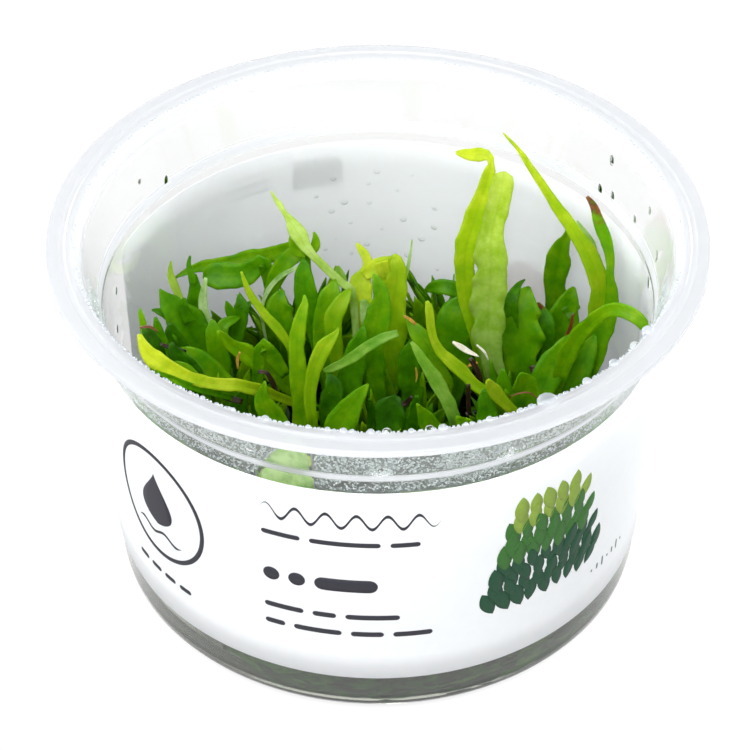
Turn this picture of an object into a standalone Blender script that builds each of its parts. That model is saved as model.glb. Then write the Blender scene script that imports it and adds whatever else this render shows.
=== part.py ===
"""Narrow leaf java fern from tissue culture, standing open in its clear cup.

The cup is a thin moulded tub with a flat lip, wrapped in a paper label. On its floor lies a thin
layer of clear nutrient gel. Creeping rhizomes lie on the gel, a plantlet of small low leaves sits
on each clump of them, and the long narrow leaves rise from the plantlets towards the mouth.

Metres, +Z up, origin at the middle of the cup's foot, with the front of the label towards -Y.
"""

import math

import bmesh
import bpy
import numpy as np
from mathutils import Vector
from mathutils.bvhtree import BVHTree

MM = 0.001

# Cup: radii and heights of its outside, in metres
CUP_HEIGHT = 61.0 * MM
LIP_RADIUS = 50.0 * MM
LIP_THICKNESS = 0.8 * MM
MOUTH_RADIUS = 44.8 * MM
WALL_THICKNESS = 0.7 * MM
STEP_HEIGHT = 50.2 * MM
STEP_DEPTH = 0.6 * MM
BODY_TOP_RADIUS = 42.75 * MM
BODY_FOOT_RADIUS = 41.55 * MM
CORNER_RADIUS = 3.2 * MM
FOOT_RING_WIDTH = 5.0 * MM
FOOT_RECESS = 0.6 * MM
CUP_STEPS = 60

# Label: a paper wrap that leaves a gap on the left
LABEL_TOP = 46.8 * MM
LABEL_BOTTOM = 7.9 * MM
LABEL_THICKNESS = 0.16 * MM
LABEL_CLEARANCE = 0.26 * MM
LABEL_START_DEG = 186.0
LABEL_SWEEP_DEG = 336.0
LABEL_STEPS = 56

# Contents
TOUCH_GAP = 0.3 * MM
GEL_DEPTH = 5.6 * MM
GEL_MENISCUS = 0.6 * MM
GEL_STEPS = 40
RHIZOME_RADIUS = 1.25 * MM
LEAF_THICKNESS = 0.45 * MM
LEAF_FOLD = 0.22
FACING_RISE_DEG = 38.0
TRIM_MARGIN = TOUCH_GAP + 0.5 * LEAF_THICKNESS
TRIM_STEPS = 120

# Plantlets: each is a mound of low leaves that fills its share of the cup's floor
PLANTLET_REACH = 40.2 * MM
PLANTLET_SPACING = 0.4 * MM
PLANTLET_FULLNESS = 2.6
TIPS_AROUND = 16
TIPS_UP = 8
TIP_DEPTH = 0.2

# The middle x and y of each plantlet and the height of its leaf tips above its base, in mm
PLANTLETS = {
    "right": (26.0, 4.0, 15.0),
    "middle": (1.0, 3.0, 15.0),
    "left": (-26.0, 5.0, 16.5),
    "back_left": (-12.0, 26.0, 16.0),
    "back_right": (13.0, 26.0, 14.5),
    "front_left": (-14.0, -21.0, 15.5),
    "front_right": (15.0, -21.0, 15.0),
}

# Rhizomes: the x, y points in mm that each one creeps through, lying on the gel
RHIZOMES = {
    "right": [(34.0, 3.0), (28.0, 1.5), (22.0, 5.0), (19.5, 11.0), (15.0, 17.0)],
    "middle": [(-9.0, 1.0), (-3.0, 3.5), (3.0, 2.5), (8.0, 6.0), (10.5, 11.5)],
    "left": [(-34.0, 2.0), (-28.0, 4.5), (-22.0, 3.5), (-17.0, 7.5), (-15.0, 13.0)],
    "front": [(-22.0, -20.0), (-14.0, -22.5), (-5.0, -19.5), (5.0, -21.5), (15.0, -19.0)],
}

# Leaves of each plantlet: widest width, facing azimuth, twist, tip shape, then x, y, z points
# from the root to the tip. The tip shape is low for a long point and high for a blunt end.
LEAVES = {
    "right": [
        (5.4, -75, 10, 2.2, [(20, 10, 11), (18.5, 13, 19), (17, 14, 30), (15, 16.5, 42),
                             (16, 18.5, 51.5), (16.8, 19.5, 57), (15, 19.5, 58.9), (12.4, 19, 58.6)]),
        (4.2, -105, -10, 3.0, [(22, 8, 11), (20, 10, 21), (19.3, 11, 31.5), (18.7, 12, 40.5),
                               (18.7, 13.5, 48.5), (19.6, 14.5, 54), (20.2, 15.5, 58)]),
        (3.0, -60, 10, 1.2, [(30, 10, 12), (33, 14.5, 25.5), (35, 17, 32.5), (34, 19, 39),
                             (30, 21, 46.5), (25, 22.5, 54), (20, 24, 60.3)]),
        (3.6, -120, 15, 1.3, [(30, 6, 12), (32, 9, 22), (34.3, 11, 28), (36.5, 13.5, 35),
                              (36.3, 16, 42), (35, 17.5, 47), (33, 19.5, 52.3)]),
        (2.6, -95, 0, 1.6, [(27, 4, 13), (29, 6, 23.5), (30.7, 5, 32.5), (33.5, 4, 39),
                            (36.7, 2, 43.3), (39.3, -1, 44.6), (40.3, -3.5, 43.6)]),
        (4.6, -80, 0, 1.5, [(26, 7, 13), (27.5, 8, 20), (29.5, 9, 27.5), (32, 9.5, 32.5)]),
        (4.6, -95, 10, 2.0, [(23, 10, 12), (25, 13, 21.5), (25, 15, 28), (24, 17, 33.5)]),
        (4.8, -85, 0, 3.5, [(25, 1, 13), (24.5, 0, 23.5), (24.3, -1, 29), (22.2, -2, 34)]),
        (2.4, -70, 10, 1.4, [(23, 2, 13), (21.5, 2, 22.5), (17.3, 3, 27.5), (13, 4.5, 31),
                             (9.8, 6, 34), (8.4, 7, 37.3), (7.7, 8, 40.5)]),
        (2.4, -70, 0, 2.0, [(24, -3, 13), (22, -3.5, 25.5), (19, -4.5, 30.5), (17, -5.5, 35.5)]),
        (3.2, -140, 10, 1.6, [(31, 0, 13), (34.5, -4, 24), (36.5, -8, 32), (36, -12, 37)]),
    ],
    "middle": [
        (2.8, -75, 0, 1.5, [(9, -1, 12), (12.3, -1, 23.5), (10.3, 0, 29), (7.5, 2, 34),
                            (4.8, 4, 39)]),
        (2.5, -80, 0, 1.5, [(9, 4, 12), (12, 5.5, 22.5), (10, 7.3, 27.5), (7.8, 9, 32),
                            (5.5, 10.5, 35)]),
        (4.0, -95, 0, 1.6, [(-2, 11, 12), (-4.2, 15, 26), (-3.2, 17, 33), (-2, 19, 38),
                            (-3.2, 21, 42)]),
        (5.4, -90, 0, 3.2, [(3, 8, 12), (2.4, 9.5, 26.5), (2, 11, 34.5), (2, 13, 40.5),
                            (1.8, 15.5, 43), (0, 18.5, 41)]),
        (4.2, -85, 10, 1.6, [(1, 3, 13), (1.6, 5, 25.3), (1.4, 6.5, 33), (0.8, 8, 39.5),
                             (-0.6, 9, 45)]),
        (2.8, -60, 20, 1.2, [(-3, 7, 13), (-2.8, 10, 28), (-5.3, 14, 38), (-9.2, 17, 42),
                             (-12.4, 19.5, 44.5), (-14.3, 21, 47.5), (-16.5, 23, 50.7)]),
        (4.6, -75, 0, 1.6, [(-6, -7, 12), (-7.4, -11, 28.5), (-5.1, -10.5, 33), (-2.8, -10, 37),
                            (-1.7, -9.5, 40)]),
        (4.2, -100, 0, 1.8, [(11, 11, 12), (13.5, 15, 23), (11.7, 16.5, 28.3), (12.5, 18, 32.5)]),
        (2.8, -90, 20, 1.3, [(-9, -1, 12), (-12, -4, 22), (-13.2, -2.5, 29.3), (-13.3, -1, 35.2),
                             (-12.4, 0.5, 40.6), (-11.2, 1.5, 43.8), (-11.4, 2.5, 46.4)]),
        (3.0, -70, 0, 1.5, [(-9, -5, 12), (-11, -7, 26.5), (-10.4, -6, 34), (-9, -5, 39.5),
                            (-7.5, -4, 42.5), (-6, -3, 45)]),
    ],
    "left": [
        (4.6, -60, 0, 1.7, [(-25, 8, 13), (-28, 11, 28.5), (-31, 12.5, 33), (-34, 14, 37.5)]),
        (3.0, -110, 0, 1.4, [(-10.5, 3, 12), (-12.5, 1, 23.5), (-17.8, -2, 29.5), (-23, -5, 34.3),
                             (-28.2, -7, 37), (-33, -8, 41), (-35, -7.5, 44), (-36.5, -6, 45.8)]),
        (4.2, -70, 0, 1.9, [(-24, 2, 13), (-24, 3, 24), (-27.3, 4, 29.3), (-31, 5, 33.5)]),
        (3.2, -90, 0, 1.7, [(-24, 6, 13), (-26, 7.5, 23.5), (-26, 9, 29), (-27, 10.5, 34.5)]),
        (3.2, -100, 0, 1.5, [(-14, 7, 12), (-13.5, 6, 24.5), (-17.5, 5, 30.5), (-21.3, 4.5, 34),
                             (-25, 4, 38)]),
        (2.0, -70, 0, 1.3, [(-13.5, 8, 12), (-12.7, 9, 21), (-15.5, 10.5, 29), (-18.5, 12, 35),
                            (-20.5, 13, 39), (-22, 14, 42)]),
        (2.6, -90, 0, 1.8, [(-17, -3, 12), (-16.2, -6.5, 26), (-18, -6.5, 31), (-18, -5.5, 35)]),
        (3.4, -40, 0, 1.6, [(-30, 0, 13), (-34, -3, 22), (-37, -5, 29), (-38, -6.5, 36)]),
    ],
    "back_left": [
        (4.2, -80, 0, 1.5, [(-11, 22, 13), (-12.5, 24.5, 36), (-17.3, 26.3, 36), (-22.6, 26.5, 34.5),
                            (-27.5, 25.3, 33.8), (-32, 23, 33.8)]),
        (3.6, -85, 0, 1.8, [(-15, 20, 13), (-18.4, 21, 28.5), (-23.3, 22, 32.5), (-28, 22, 32.3)]),
        (1.6, -80, 0, 1.6, [(-21, 15, 12), (-29, 16.5, 27), (-32, 18.5, 34), (-33, 20.5, 38.7)]),
        (3.4, -90, 0, 1.6, [(-18, 14, 12), (-18.6, 15, 24.5), (-20.8, 16.5, 29), (-22.8, 18, 33.5)]),
    ],
    "back_right": [
        (4.4, -85, 0, 1.6, [(20, 24, 12), (26, 24.3, 21), (28, 25, 28), (28.5, 25.5, 34.5),
                            (29.8, 25.5, 40.5)]),
        (3.4, -80, 0, 1.7, [(23, 16, 12), (26.8, 17, 22.8), (29.3, 18.5, 28.7), (31.5, 20, 33.5)]),
        (2.6, -90, 0, 1.6, [(15, 22, 12), (15.5, 25, 26), (12, 26.5, 29), (8, 27, 29.5)]),
        (3.0, 90, 0, 1.6, [(11, 29, 13), (9, 32, 24), (6, 34.5, 31), (2.5, 35, 34)]),
    ],
    "front_left": [
        (3.6, -120, 0, 1.5, [(-15, -20, 13), (-17, -19.5, 28), (-13.5, -20.5, 33), (-9, -22, 35)]),
        (3.2, -60, 0, 1.6, [(-10, -24, 13), (-7, -28, 25), (-5, -32, 30), (-2, -35.5, 31)]),
        (3.6, -150, 0, 1.6, [(-18, -23, 13), (-23, -26, 24), (-27, -27.5, 29), (-30, -26, 33)]),
        (3.0, 180, 0, 1.5, [(-19, -18, 13), (-26, -16, 24), (-31, -15, 29), (-35, -15, 33)]),
    ],
    "front_right": [
        (3.6, -80, 0, 1.7, [(13, -20, 13), (10, -21, 25), (7, -23, 29), (3, -25, 30)]),
        (3.4, -60, 0, 1.6, [(19, -22, 13), (21, -26, 25), (23, -30, 29), (22, -33.5, 31)]),
        (3.2, -30, 0, 1.6, [(21, -18, 13), (27, -18, 25), (31, -20, 30), (34, -19, 34)]),
        (3.0, 30, 0, 1.5, [(18, -14, 13), (20, -10.5, 24), (24, -9.5, 29), (29, -9, 32)]),
    ],
}


def material(name, colour, roughness, alpha=1.0, transmission=0.0):
    """A Principled material; colour is linear RGB."""
    made = bpy.data.materials.new(name)
    made.use_nodes = True
    shader = made.node_tree.nodes["Principled BSDF"]
    shader.inputs["Base Color"].default_value = (*colour, 1.0)
    shader.inputs["Roughness"].default_value = roughness
    shader.inputs["Alpha"].default_value = alpha
    shader.inputs["Transmission Weight"].default_value = transmission
    made.diffuse_color = (*colour, alpha)
    return made


def add_object(name, mesh, collection, finish):
    """Links a mesh as a named object with one material."""
    made = bpy.data.objects.new(name, mesh)
    made.data.materials.append(finish)
    collection.objects.link(made)
    return made


def turned(name, profile, steps, collection, finish):
    """A closed turned piece from (radius, height) points that run down its outer side."""
    mesh = bpy.data.meshes.new(name)
    points = [(radius, 0.0, height) for radius, height in profile]
    mesh.from_pydata(points, [(i, i + 1) for i in range(len(points) - 1)], [])
    made = add_object(name, mesh, collection, finish)
    screw = made.modifiers.new("turn", "SCREW")
    screw.steps = steps
    screw.render_steps = steps
    screw.use_merge_vertices = True
    screw.merge_threshold = 0.00001
    screw.use_smooth_shade = True
    return made


def body_radius(height):
    """The outer radius of the cup's tapered body at a height."""
    rise = (height - CORNER_RADIUS) / (LABEL_TOP - CORNER_RADIUS)
    return BODY_FOOT_RADIUS + (BODY_TOP_RADIUS - BODY_FOOT_RADIUS) * rise


def cup_profile():
    """The wall's section: up the inside from the middle of the floor, over the lip, down outside."""
    floor = FOOT_RECESS + WALL_THICKNESS
    lip_under = CUP_HEIGHT - LIP_THICKNESS
    corner = CORNER_RADIUS - WALL_THICKNESS
    inner_foot = BODY_FOOT_RADIUS - WALL_THICKNESS
    step_radius = BODY_TOP_RADIUS + STEP_DEPTH
    inside = [(0.0, floor)]
    for angle in (90.0, 45.0, 0.0):
        turn = math.radians(angle)
        inside.append((
            inner_foot - corner + corner * math.cos(turn),
            floor + corner - corner * math.sin(turn),
        ))
    inside += [
        (body_radius(STEP_HEIGHT) - WALL_THICKNESS, STEP_HEIGHT - 1.2 * MM),
        (step_radius - WALL_THICKNESS, STEP_HEIGHT),
        (MOUTH_RADIUS, CUP_HEIGHT - 1.7 * MM),
        (MOUTH_RADIUS + 0.8 * MM, CUP_HEIGHT - 0.5 * MM),
        (MOUTH_RADIUS + 2.0 * MM, CUP_HEIGHT),
        (LIP_RADIUS - 0.3 * MM, CUP_HEIGHT),
    ]
    outside = [
        (LIP_RADIUS, CUP_HEIGHT - 0.25 * MM),
        (LIP_RADIUS, lip_under - 0.25 * MM),
        (LIP_RADIUS - 0.6 * MM, lip_under - 0.05 * MM),
        (MOUTH_RADIUS + 1.9 * MM, lip_under - 0.05 * MM),
        (MOUTH_RADIUS + WALL_THICKNESS, lip_under - 1.4 * MM),
        (step_radius, STEP_HEIGHT - 0.2 * MM),
        (body_radius(STEP_HEIGHT), STEP_HEIGHT - 1.4 * MM),
    ]
    for angle in (0.0, 45.0, 90.0):
        turn = math.radians(angle)
        outside.append((
            BODY_FOOT_RADIUS - CORNER_RADIUS + CORNER_RADIUS * math.cos(turn),
            CORNER_RADIUS - CORNER_RADIUS * math.sin(turn),
        ))
    ring_inner = BODY_FOOT_RADIUS - CORNER_RADIUS - FOOT_RING_WIDTH
    outside += [
        (ring_inner, 0.0),
        (ring_inner - FOOT_RECESS, FOOT_RECESS),
        (0.0, FOOT_RECESS),
    ]
    return inside + outside


def gel_profile():
    """The gel's section, down its outer side from the middle of its surface."""
    bottom = FOOT_RECESS + WALL_THICKNESS + TOUCH_GAP
    top = bottom + GEL_DEPTH
    wall = body_radius(top) - WALL_THICKNESS - TOUCH_GAP
    foot = BODY_FOOT_RADIUS - CORNER_RADIUS
    return [
        (0.0, top),
        (wall - 3.0 * MM, top),
        (wall - 0.1 * MM, top + GEL_MENISCUS),
        (BODY_FOOT_RADIUS - WALL_THICKNESS - 1.2 * TOUCH_GAP, CORNER_RADIUS + 0.5 * MM),
        (foot + 0.4 * CORNER_RADIUS, bottom + 0.5 * MM),
        (foot - 0.5 * MM, bottom),
        (0.0, bottom),
    ]


def label_strip(collection, finish):
    """A sheet bent round the body's taper, then given its paper thickness."""
    shape = bmesh.new()
    bmesh.ops.create_grid(shape, x_segments=LABEL_STEPS, y_segments=1, size=1.0)
    for vertex in shape.verts:
        along = (vertex.co.x + 1.0) / 2.0
        height = LABEL_BOTTOM if vertex.co.y < 0 else LABEL_TOP
        turn = math.radians(LABEL_START_DEG + LABEL_SWEEP_DEG * along)
        radius = body_radius(height) + LABEL_CLEARANCE
        vertex.co = Vector((radius * math.cos(turn), radius * math.sin(turn), height))
    bmesh.ops.recalc_face_normals(shape, faces=shape.faces)
    middle = shape.faces[:][0].calc_center_median()
    if shape.faces[:][0].normal.dot(Vector((middle.x, middle.y, 0.0))) < 0:
        bmesh.ops.reverse_faces(shape, faces=shape.faces)
    mesh = bpy.data.meshes.new("label")
    shape.to_mesh(mesh)
    shape.free()
    made = add_object("label", mesh, collection, finish)
    paper = made.modifiers.new("paper", "SOLIDIFY")
    paper.thickness = LABEL_THICKNESS
    paper.offset = 1.0
    return made


def gel_top():
    return FOOT_RECESS + WALL_THICKNESS + TOUCH_GAP + GEL_DEPTH


def plantlet_base():
    """The height of the plantlets' undersides: they sit on the rhizomes."""
    return gel_top() + 2 * TOUCH_GAP + 2 * RHIZOME_RADIUS


def rhizome(name, route, collection, finish):
    """A short creeping stem lying on the gel."""
    curve = bpy.data.curves.new(name, "CURVE")
    curve.dimensions = "3D"
    curve.bevel_depth = RHIZOME_RADIUS
    curve.bevel_resolution = 2
    curve.use_fill_caps = True
    height = gel_top() + TOUCH_GAP + RHIZOME_RADIUS
    knots = [np.array((x * MM, y * MM, height)) for x, y in route]
    points = [smooth_point(knots, i / 8) for i in range(9)]
    spline = curve.splines.new("POLY")
    spline.points.add(len(points) - 1)
    for i, point in enumerate(points):
        spline.points[i].co = (*point, 1.0)
        spline.points[i].radius = 0.7 if i in (0, 8) else 1.0
    made = bpy.data.objects.new(name, curve)
    curve.materials.append(finish)
    collection.objects.link(made)
    return made


def plantlet_radius(place, turn):
    """How far a plantlet spreads one way: to the wall, or half way to its next neighbour."""
    x, y = place[0] * MM, place[1] * MM
    way = (math.cos(turn), math.sin(turn))
    along = x * way[0] + y * way[1]
    across = x * way[1] - y * way[0]
    reach = math.sqrt(PLANTLET_REACH**2 - across**2) - along
    for other in PLANTLETS.values():
        apart = (other[0] * MM - x, other[1] * MM - y)
        distance = math.hypot(*apart)
        if distance < MM:
            continue
        facing = (apart[0] * way[0] + apart[1] * way[1]) / distance
        if facing > 0.05:
            reach = min(reach, (0.5 * distance - PLANTLET_SPACING) / facing)
    return reach


def plantlet(name, place, collection, finish):
    """The low leaves of one plantlet, massed as a pointed mound whose points are their tips."""
    x, y, height = place
    shape = bmesh.new()
    bmesh.ops.create_uvsphere(shape, u_segments=TIPS_AROUND, v_segments=TIPS_UP, radius=1.0)
    for vertex in shape.verts:
        turn = math.atan2(vertex.co.y, vertex.co.x)
        climb = math.asin(min(max(vertex.co.z, -1.0), 1.0))
        column = round(turn * TIPS_AROUND / (2 * math.pi))
        row = round(climb * TIPS_UP / math.pi)
        tip = 1.0 if (column + row) % 2 == 0 else 1.0 - TIP_DEPTH
        out = math.cos(climb) ** (2.0 / PLANTLET_FULLNESS) if row > 0 else math.cos(climb)
        up = max(math.sin(climb), 0.0) ** (2.0 / PLANTLET_FULLNESS)
        spread = out * plantlet_radius(place, turn) * (tip if row >= 0 else 0.9)
        vertex.co = Vector((
            x * MM + math.cos(turn) * spread,
            y * MM + math.sin(turn) * spread,
            plantlet_base() + up * height * tip * MM,
        ))
    surface = BVHTree.FromBMesh(shape)
    mesh = bpy.data.meshes.new(name)
    shape.to_mesh(mesh)
    shape.free()
    add_object(name, mesh, collection, finish)
    return surface


def smooth_point(knots, along):
    """The point at 0 to 1 along the smooth curve that passes through the knots."""
    spans = len(knots) - 1
    place = min(max(along, 0.0), 1.0) * spans
    i = min(int(place), spans - 1)
    t = place - i
    before = knots[i - 1] if i > 0 else 2 * knots[0] - knots[1]
    after = knots[i + 2] if i + 2 <= spans else 2 * knots[-1] - knots[-2]
    start, end = knots[i], knots[i + 1]
    return 0.5 * (
        2 * start
        + (end - before) * t
        + (2 * before - 5 * start + 4 * end - after) * t**2
        + (3 * start - before - 3 * end + after) * t**3
    )


def width_share(along, tip):
    """How wide a leaf is at 0 to 1 along it, as a share of its widest width."""
    rise = min(max((along - 0.1) / 0.42, 0.0), 1.0)
    base = 0.3 + 0.7 * rise * rise * (3.0 - 2.0 * rise)
    fall = max(along - 0.6, 0.0) / 0.4
    return base * max(1.0 - fall**tip, 0.1)


def unit(vector):
    return vector / np.linalg.norm(vector)


def blade_point(leaf, along, across):
    """The point of a leaf's mid surface at 0 to 1 along it and -1 to 1 across it, in metres."""
    width, facing, twist, tip, route = leaf
    knots = [np.array(point) * MM for point in route]
    middle = smooth_point(knots, along)
    forward = unit(smooth_point(knots, along + 0.02) - smooth_point(knots, along - 0.02))
    azimuth = math.radians(facing + twist * along)
    rise = math.radians(FACING_RISE_DEG)
    face = np.array((
        math.cos(azimuth) * math.cos(rise), math.sin(azimuth) * math.cos(rise), math.sin(rise)
    ))
    side = unit(np.cross(forward, face))
    normal = np.cross(side, forward)
    half = 0.5 * width * MM * width_share(along, tip)
    return middle + side * half * across + normal * half * LEAF_FOLD * abs(across)


def leaf_start(leaf, surfaces):
    """How far along a leaf, from 0 to 1, it comes clear of the plantlets' surfaces."""
    for i in range(TRIM_STEPS, -1, -1):
        for across in (-1.0, -0.5, 0.0, 0.5, 1.0):
            point = Vector(blade_point(leaf, i / TRIM_STEPS, across))
            if any(surface.find_nearest(point)[3] < TRIM_MARGIN for surface in surfaces):
                return (i + 1) / TRIM_STEPS
    return 0.0


def long_leaf(name, leaf, surfaces, collection, finish):
    """One long leaf: a strip folded at its midrib, from where it leaves the plantlet to its tip."""
    start = leaf_start(leaf, surfaces)
    segments = 5 + len(leaf[4]) // 2
    shape = bmesh.new()
    bmesh.ops.create_grid(shape, x_segments=2, y_segments=segments, size=1.0)
    for vertex in shape.verts:
        along = start + (1.0 - start) * (vertex.co.y + 1.0) / 2.0
        vertex.co = Vector(blade_point(leaf, along, round(vertex.co.x)))
    mesh = bpy.data.meshes.new(name)
    shape.to_mesh(mesh)
    shape.free()
    made = add_object(name, mesh, collection, finish)
    blade = made.modifiers.new("blade", "SOLIDIFY")
    blade.thickness = LEAF_THICKNESS
    blade.offset = 0.0
    return made


def main():
    for old in list(bpy.data.objects):
        bpy.data.objects.remove(old, do_unlink=True)
    parts = bpy.data.collections.new("java_fern_cup")
    bpy.context.scene.collection.children.link(parts)

    plastic = material("clear polypropylene", (0.86, 0.89, 0.89), 0.18, 0.35, 0.9)
    paper = material("white label paper", (0.86, 0.87, 0.88), 0.55)
    gel = material("nutrient gel", (0.80, 0.84, 0.76), 0.10, 0.5, 0.8)
    stem = material("brown rhizome", (0.10, 0.06, 0.02), 0.50)
    dark = material("small fern leaves", (0.05, 0.16, 0.01), 0.38)
    green = material("long fern leaf", (0.16, 0.38, 0.01), 0.34)

    turned("cup", cup_profile(), CUP_STEPS, parts, plastic)
    label_strip(parts, paper)
    turned("gel", gel_profile(), GEL_STEPS, parts, gel)
    for name, route in RHIZOMES.items():
        rhizome("rhizome_" + name, route, parts, stem)
    surfaces = [
        plantlet("plantlet_" + name, place, parts, dark) for name, place in PLANTLETS.items()
    ]
    for name, leaves in LEAVES.items():
        for number, leaf in enumerate(leaves, 1):
            long_leaf(f"leaf_{name}_{number}", leaf, surfaces, parts, green)


main()
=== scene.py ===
"""Looks of a tissue culture cup of narrow leaf java fern: the clear tub, its paper label, the
nutrient gel with the plants' buried leaves, the creeping rhizomes, the low leaves of seven
plantlets, the long leaves that rise over them, and the condensation inside the cup.

Metres, +Z up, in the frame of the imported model, with the front of the label towards -Y.
"""

import math
import random

import bmesh
import bpy
from mathutils import Matrix, Vector, noise


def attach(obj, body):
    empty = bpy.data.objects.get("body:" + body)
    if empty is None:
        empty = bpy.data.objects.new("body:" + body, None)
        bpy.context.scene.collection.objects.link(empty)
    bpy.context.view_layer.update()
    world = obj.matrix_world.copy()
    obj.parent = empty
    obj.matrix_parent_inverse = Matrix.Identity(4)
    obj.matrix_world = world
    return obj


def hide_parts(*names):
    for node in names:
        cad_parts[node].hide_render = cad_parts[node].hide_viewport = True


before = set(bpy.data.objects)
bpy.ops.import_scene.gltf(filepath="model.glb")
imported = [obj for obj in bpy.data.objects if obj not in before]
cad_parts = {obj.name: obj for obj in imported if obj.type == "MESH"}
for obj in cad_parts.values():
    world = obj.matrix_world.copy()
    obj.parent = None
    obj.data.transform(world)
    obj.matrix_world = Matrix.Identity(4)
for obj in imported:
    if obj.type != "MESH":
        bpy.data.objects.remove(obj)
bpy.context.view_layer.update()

MM = 0.001

# Cup, in mm: radii and heights of its outside
CUP_HEIGHT = 61.0
LIP_RADIUS = 50.0
MOUTH_RADIUS = 44.8
WALL = 0.7
STEP_HEIGHT = 50.2
STEP_DEPTH = 0.6
STEP_SLOPE = 1.2
MOUTH_BEND = 1.7
BODY_TOP_RADIUS = 42.75
BODY_FOOT_RADIUS = 41.55
CORNER_RADIUS = 3.2
FOOT_RECESS = 0.6
LIP_GROOVE = (46.9, 47.2, 47.7, 48.0)
LIP_GROOVE_DEPTH = 0.22
CUP_STEPS = 192

# Label, in mm and degrees; arcs are measured on the label's own radius, 0 at the front
LABEL_TOP = 46.8
LABEL_BOTTOM = 7.9
LABEL_RADIUS = 42.9
LABEL_CLEARANCE = 0.26
PAPER = 0.16
LABEL_START_DEG = 186.0
LABEL_SWEEP_DEG = 336.0
FRONT_DEG = 270.0
LABEL_CORNER = 2.5
INK = 0.015

# Gel and rhizomes, in mm
GEL_BOTTOM = 1.2
GEL_TOP = 7.2
GEL_MENISCUS = 0.6
WETTING = 0.12
RHIZOME_HEIGHT = 8.75
RHIZOME_RADIUS = 1.25
PLANTLET_BASE = 10.3
PLANTLET_REACH = 40.2
PLANTLET_SPACING = 0.4
PLANTLET_FULLNESS = 2.6

# Condensation, in mm and degrees: the front arc that has fine beads, the mist sheet and the y
# where it ends, the x range at one height where a leaf has wiped the wall, and the drops at the
# mouth
FRONT_ARC_DEG = (186.0, 354.0)
MIST_GAP = 0.2
MIST = 0.04
MIST_BACK = -13.0
WIPED = (-16.2, -9.2)
WIPED_HEIGHT = 50.0
WIPED_LEAN = 0.5
MOUTH_DROPS_RADIUS = 45.6

# Leaves, in mm: the buried ones' reach and heights, and the share of its tabled width that a dead
# bit has
FACING_RISE_DEG = 40.0
LONG_LEAF_THICKNESS = 0.18
SMALL_LEAF_THICKNESS = 0.16
WALL_CLEARANCE = 0.35
GOLDEN_TURN = 2.399963
BURIED_REACH = 39.4
BURIED_HEIGHTS = (2.6, 6.6)
DEAD_BIT_SHARE = 0.45

# The middle x and y of each plantlet and the height of its leaf tips above its base, in mm
PLANTLETS = {
    "right": (26.0, 4.0, 15.0),
    "middle": (1.0, 3.0, 15.0),
    "left": (-26.0, 5.0, 16.5),
    "back_left": (-12.0, 26.0, 16.0),
    "back_right": (13.0, 26.0, 14.5),
    "front_left": (-14.0, -21.0, 15.5),
    "front_right": (15.0, -21.0, 15.0),
}

# Rhizomes: the x, y points in mm that each one creeps through, lying on the gel
RHIZOMES = {
    "right": [(34.0, 3.0), (28.0, 1.5), (22.0, 5.0), (19.5, 11.0), (15.0, 17.0)],
    "middle": [(-9.0, 1.0), (-3.0, 3.5), (3.0, 2.5), (8.0, 6.0), (10.5, 11.5)],
    "left": [(-34.0, 2.0), (-28.0, 4.5), (-22.0, 3.5), (-17.0, 7.5), (-15.0, 13.0)],
    "front": [(-22.0, -20.0), (-14.0, -22.5), (-5.0, -19.5), (5.0, -21.5), (15.0, -19.0)],
}

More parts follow.
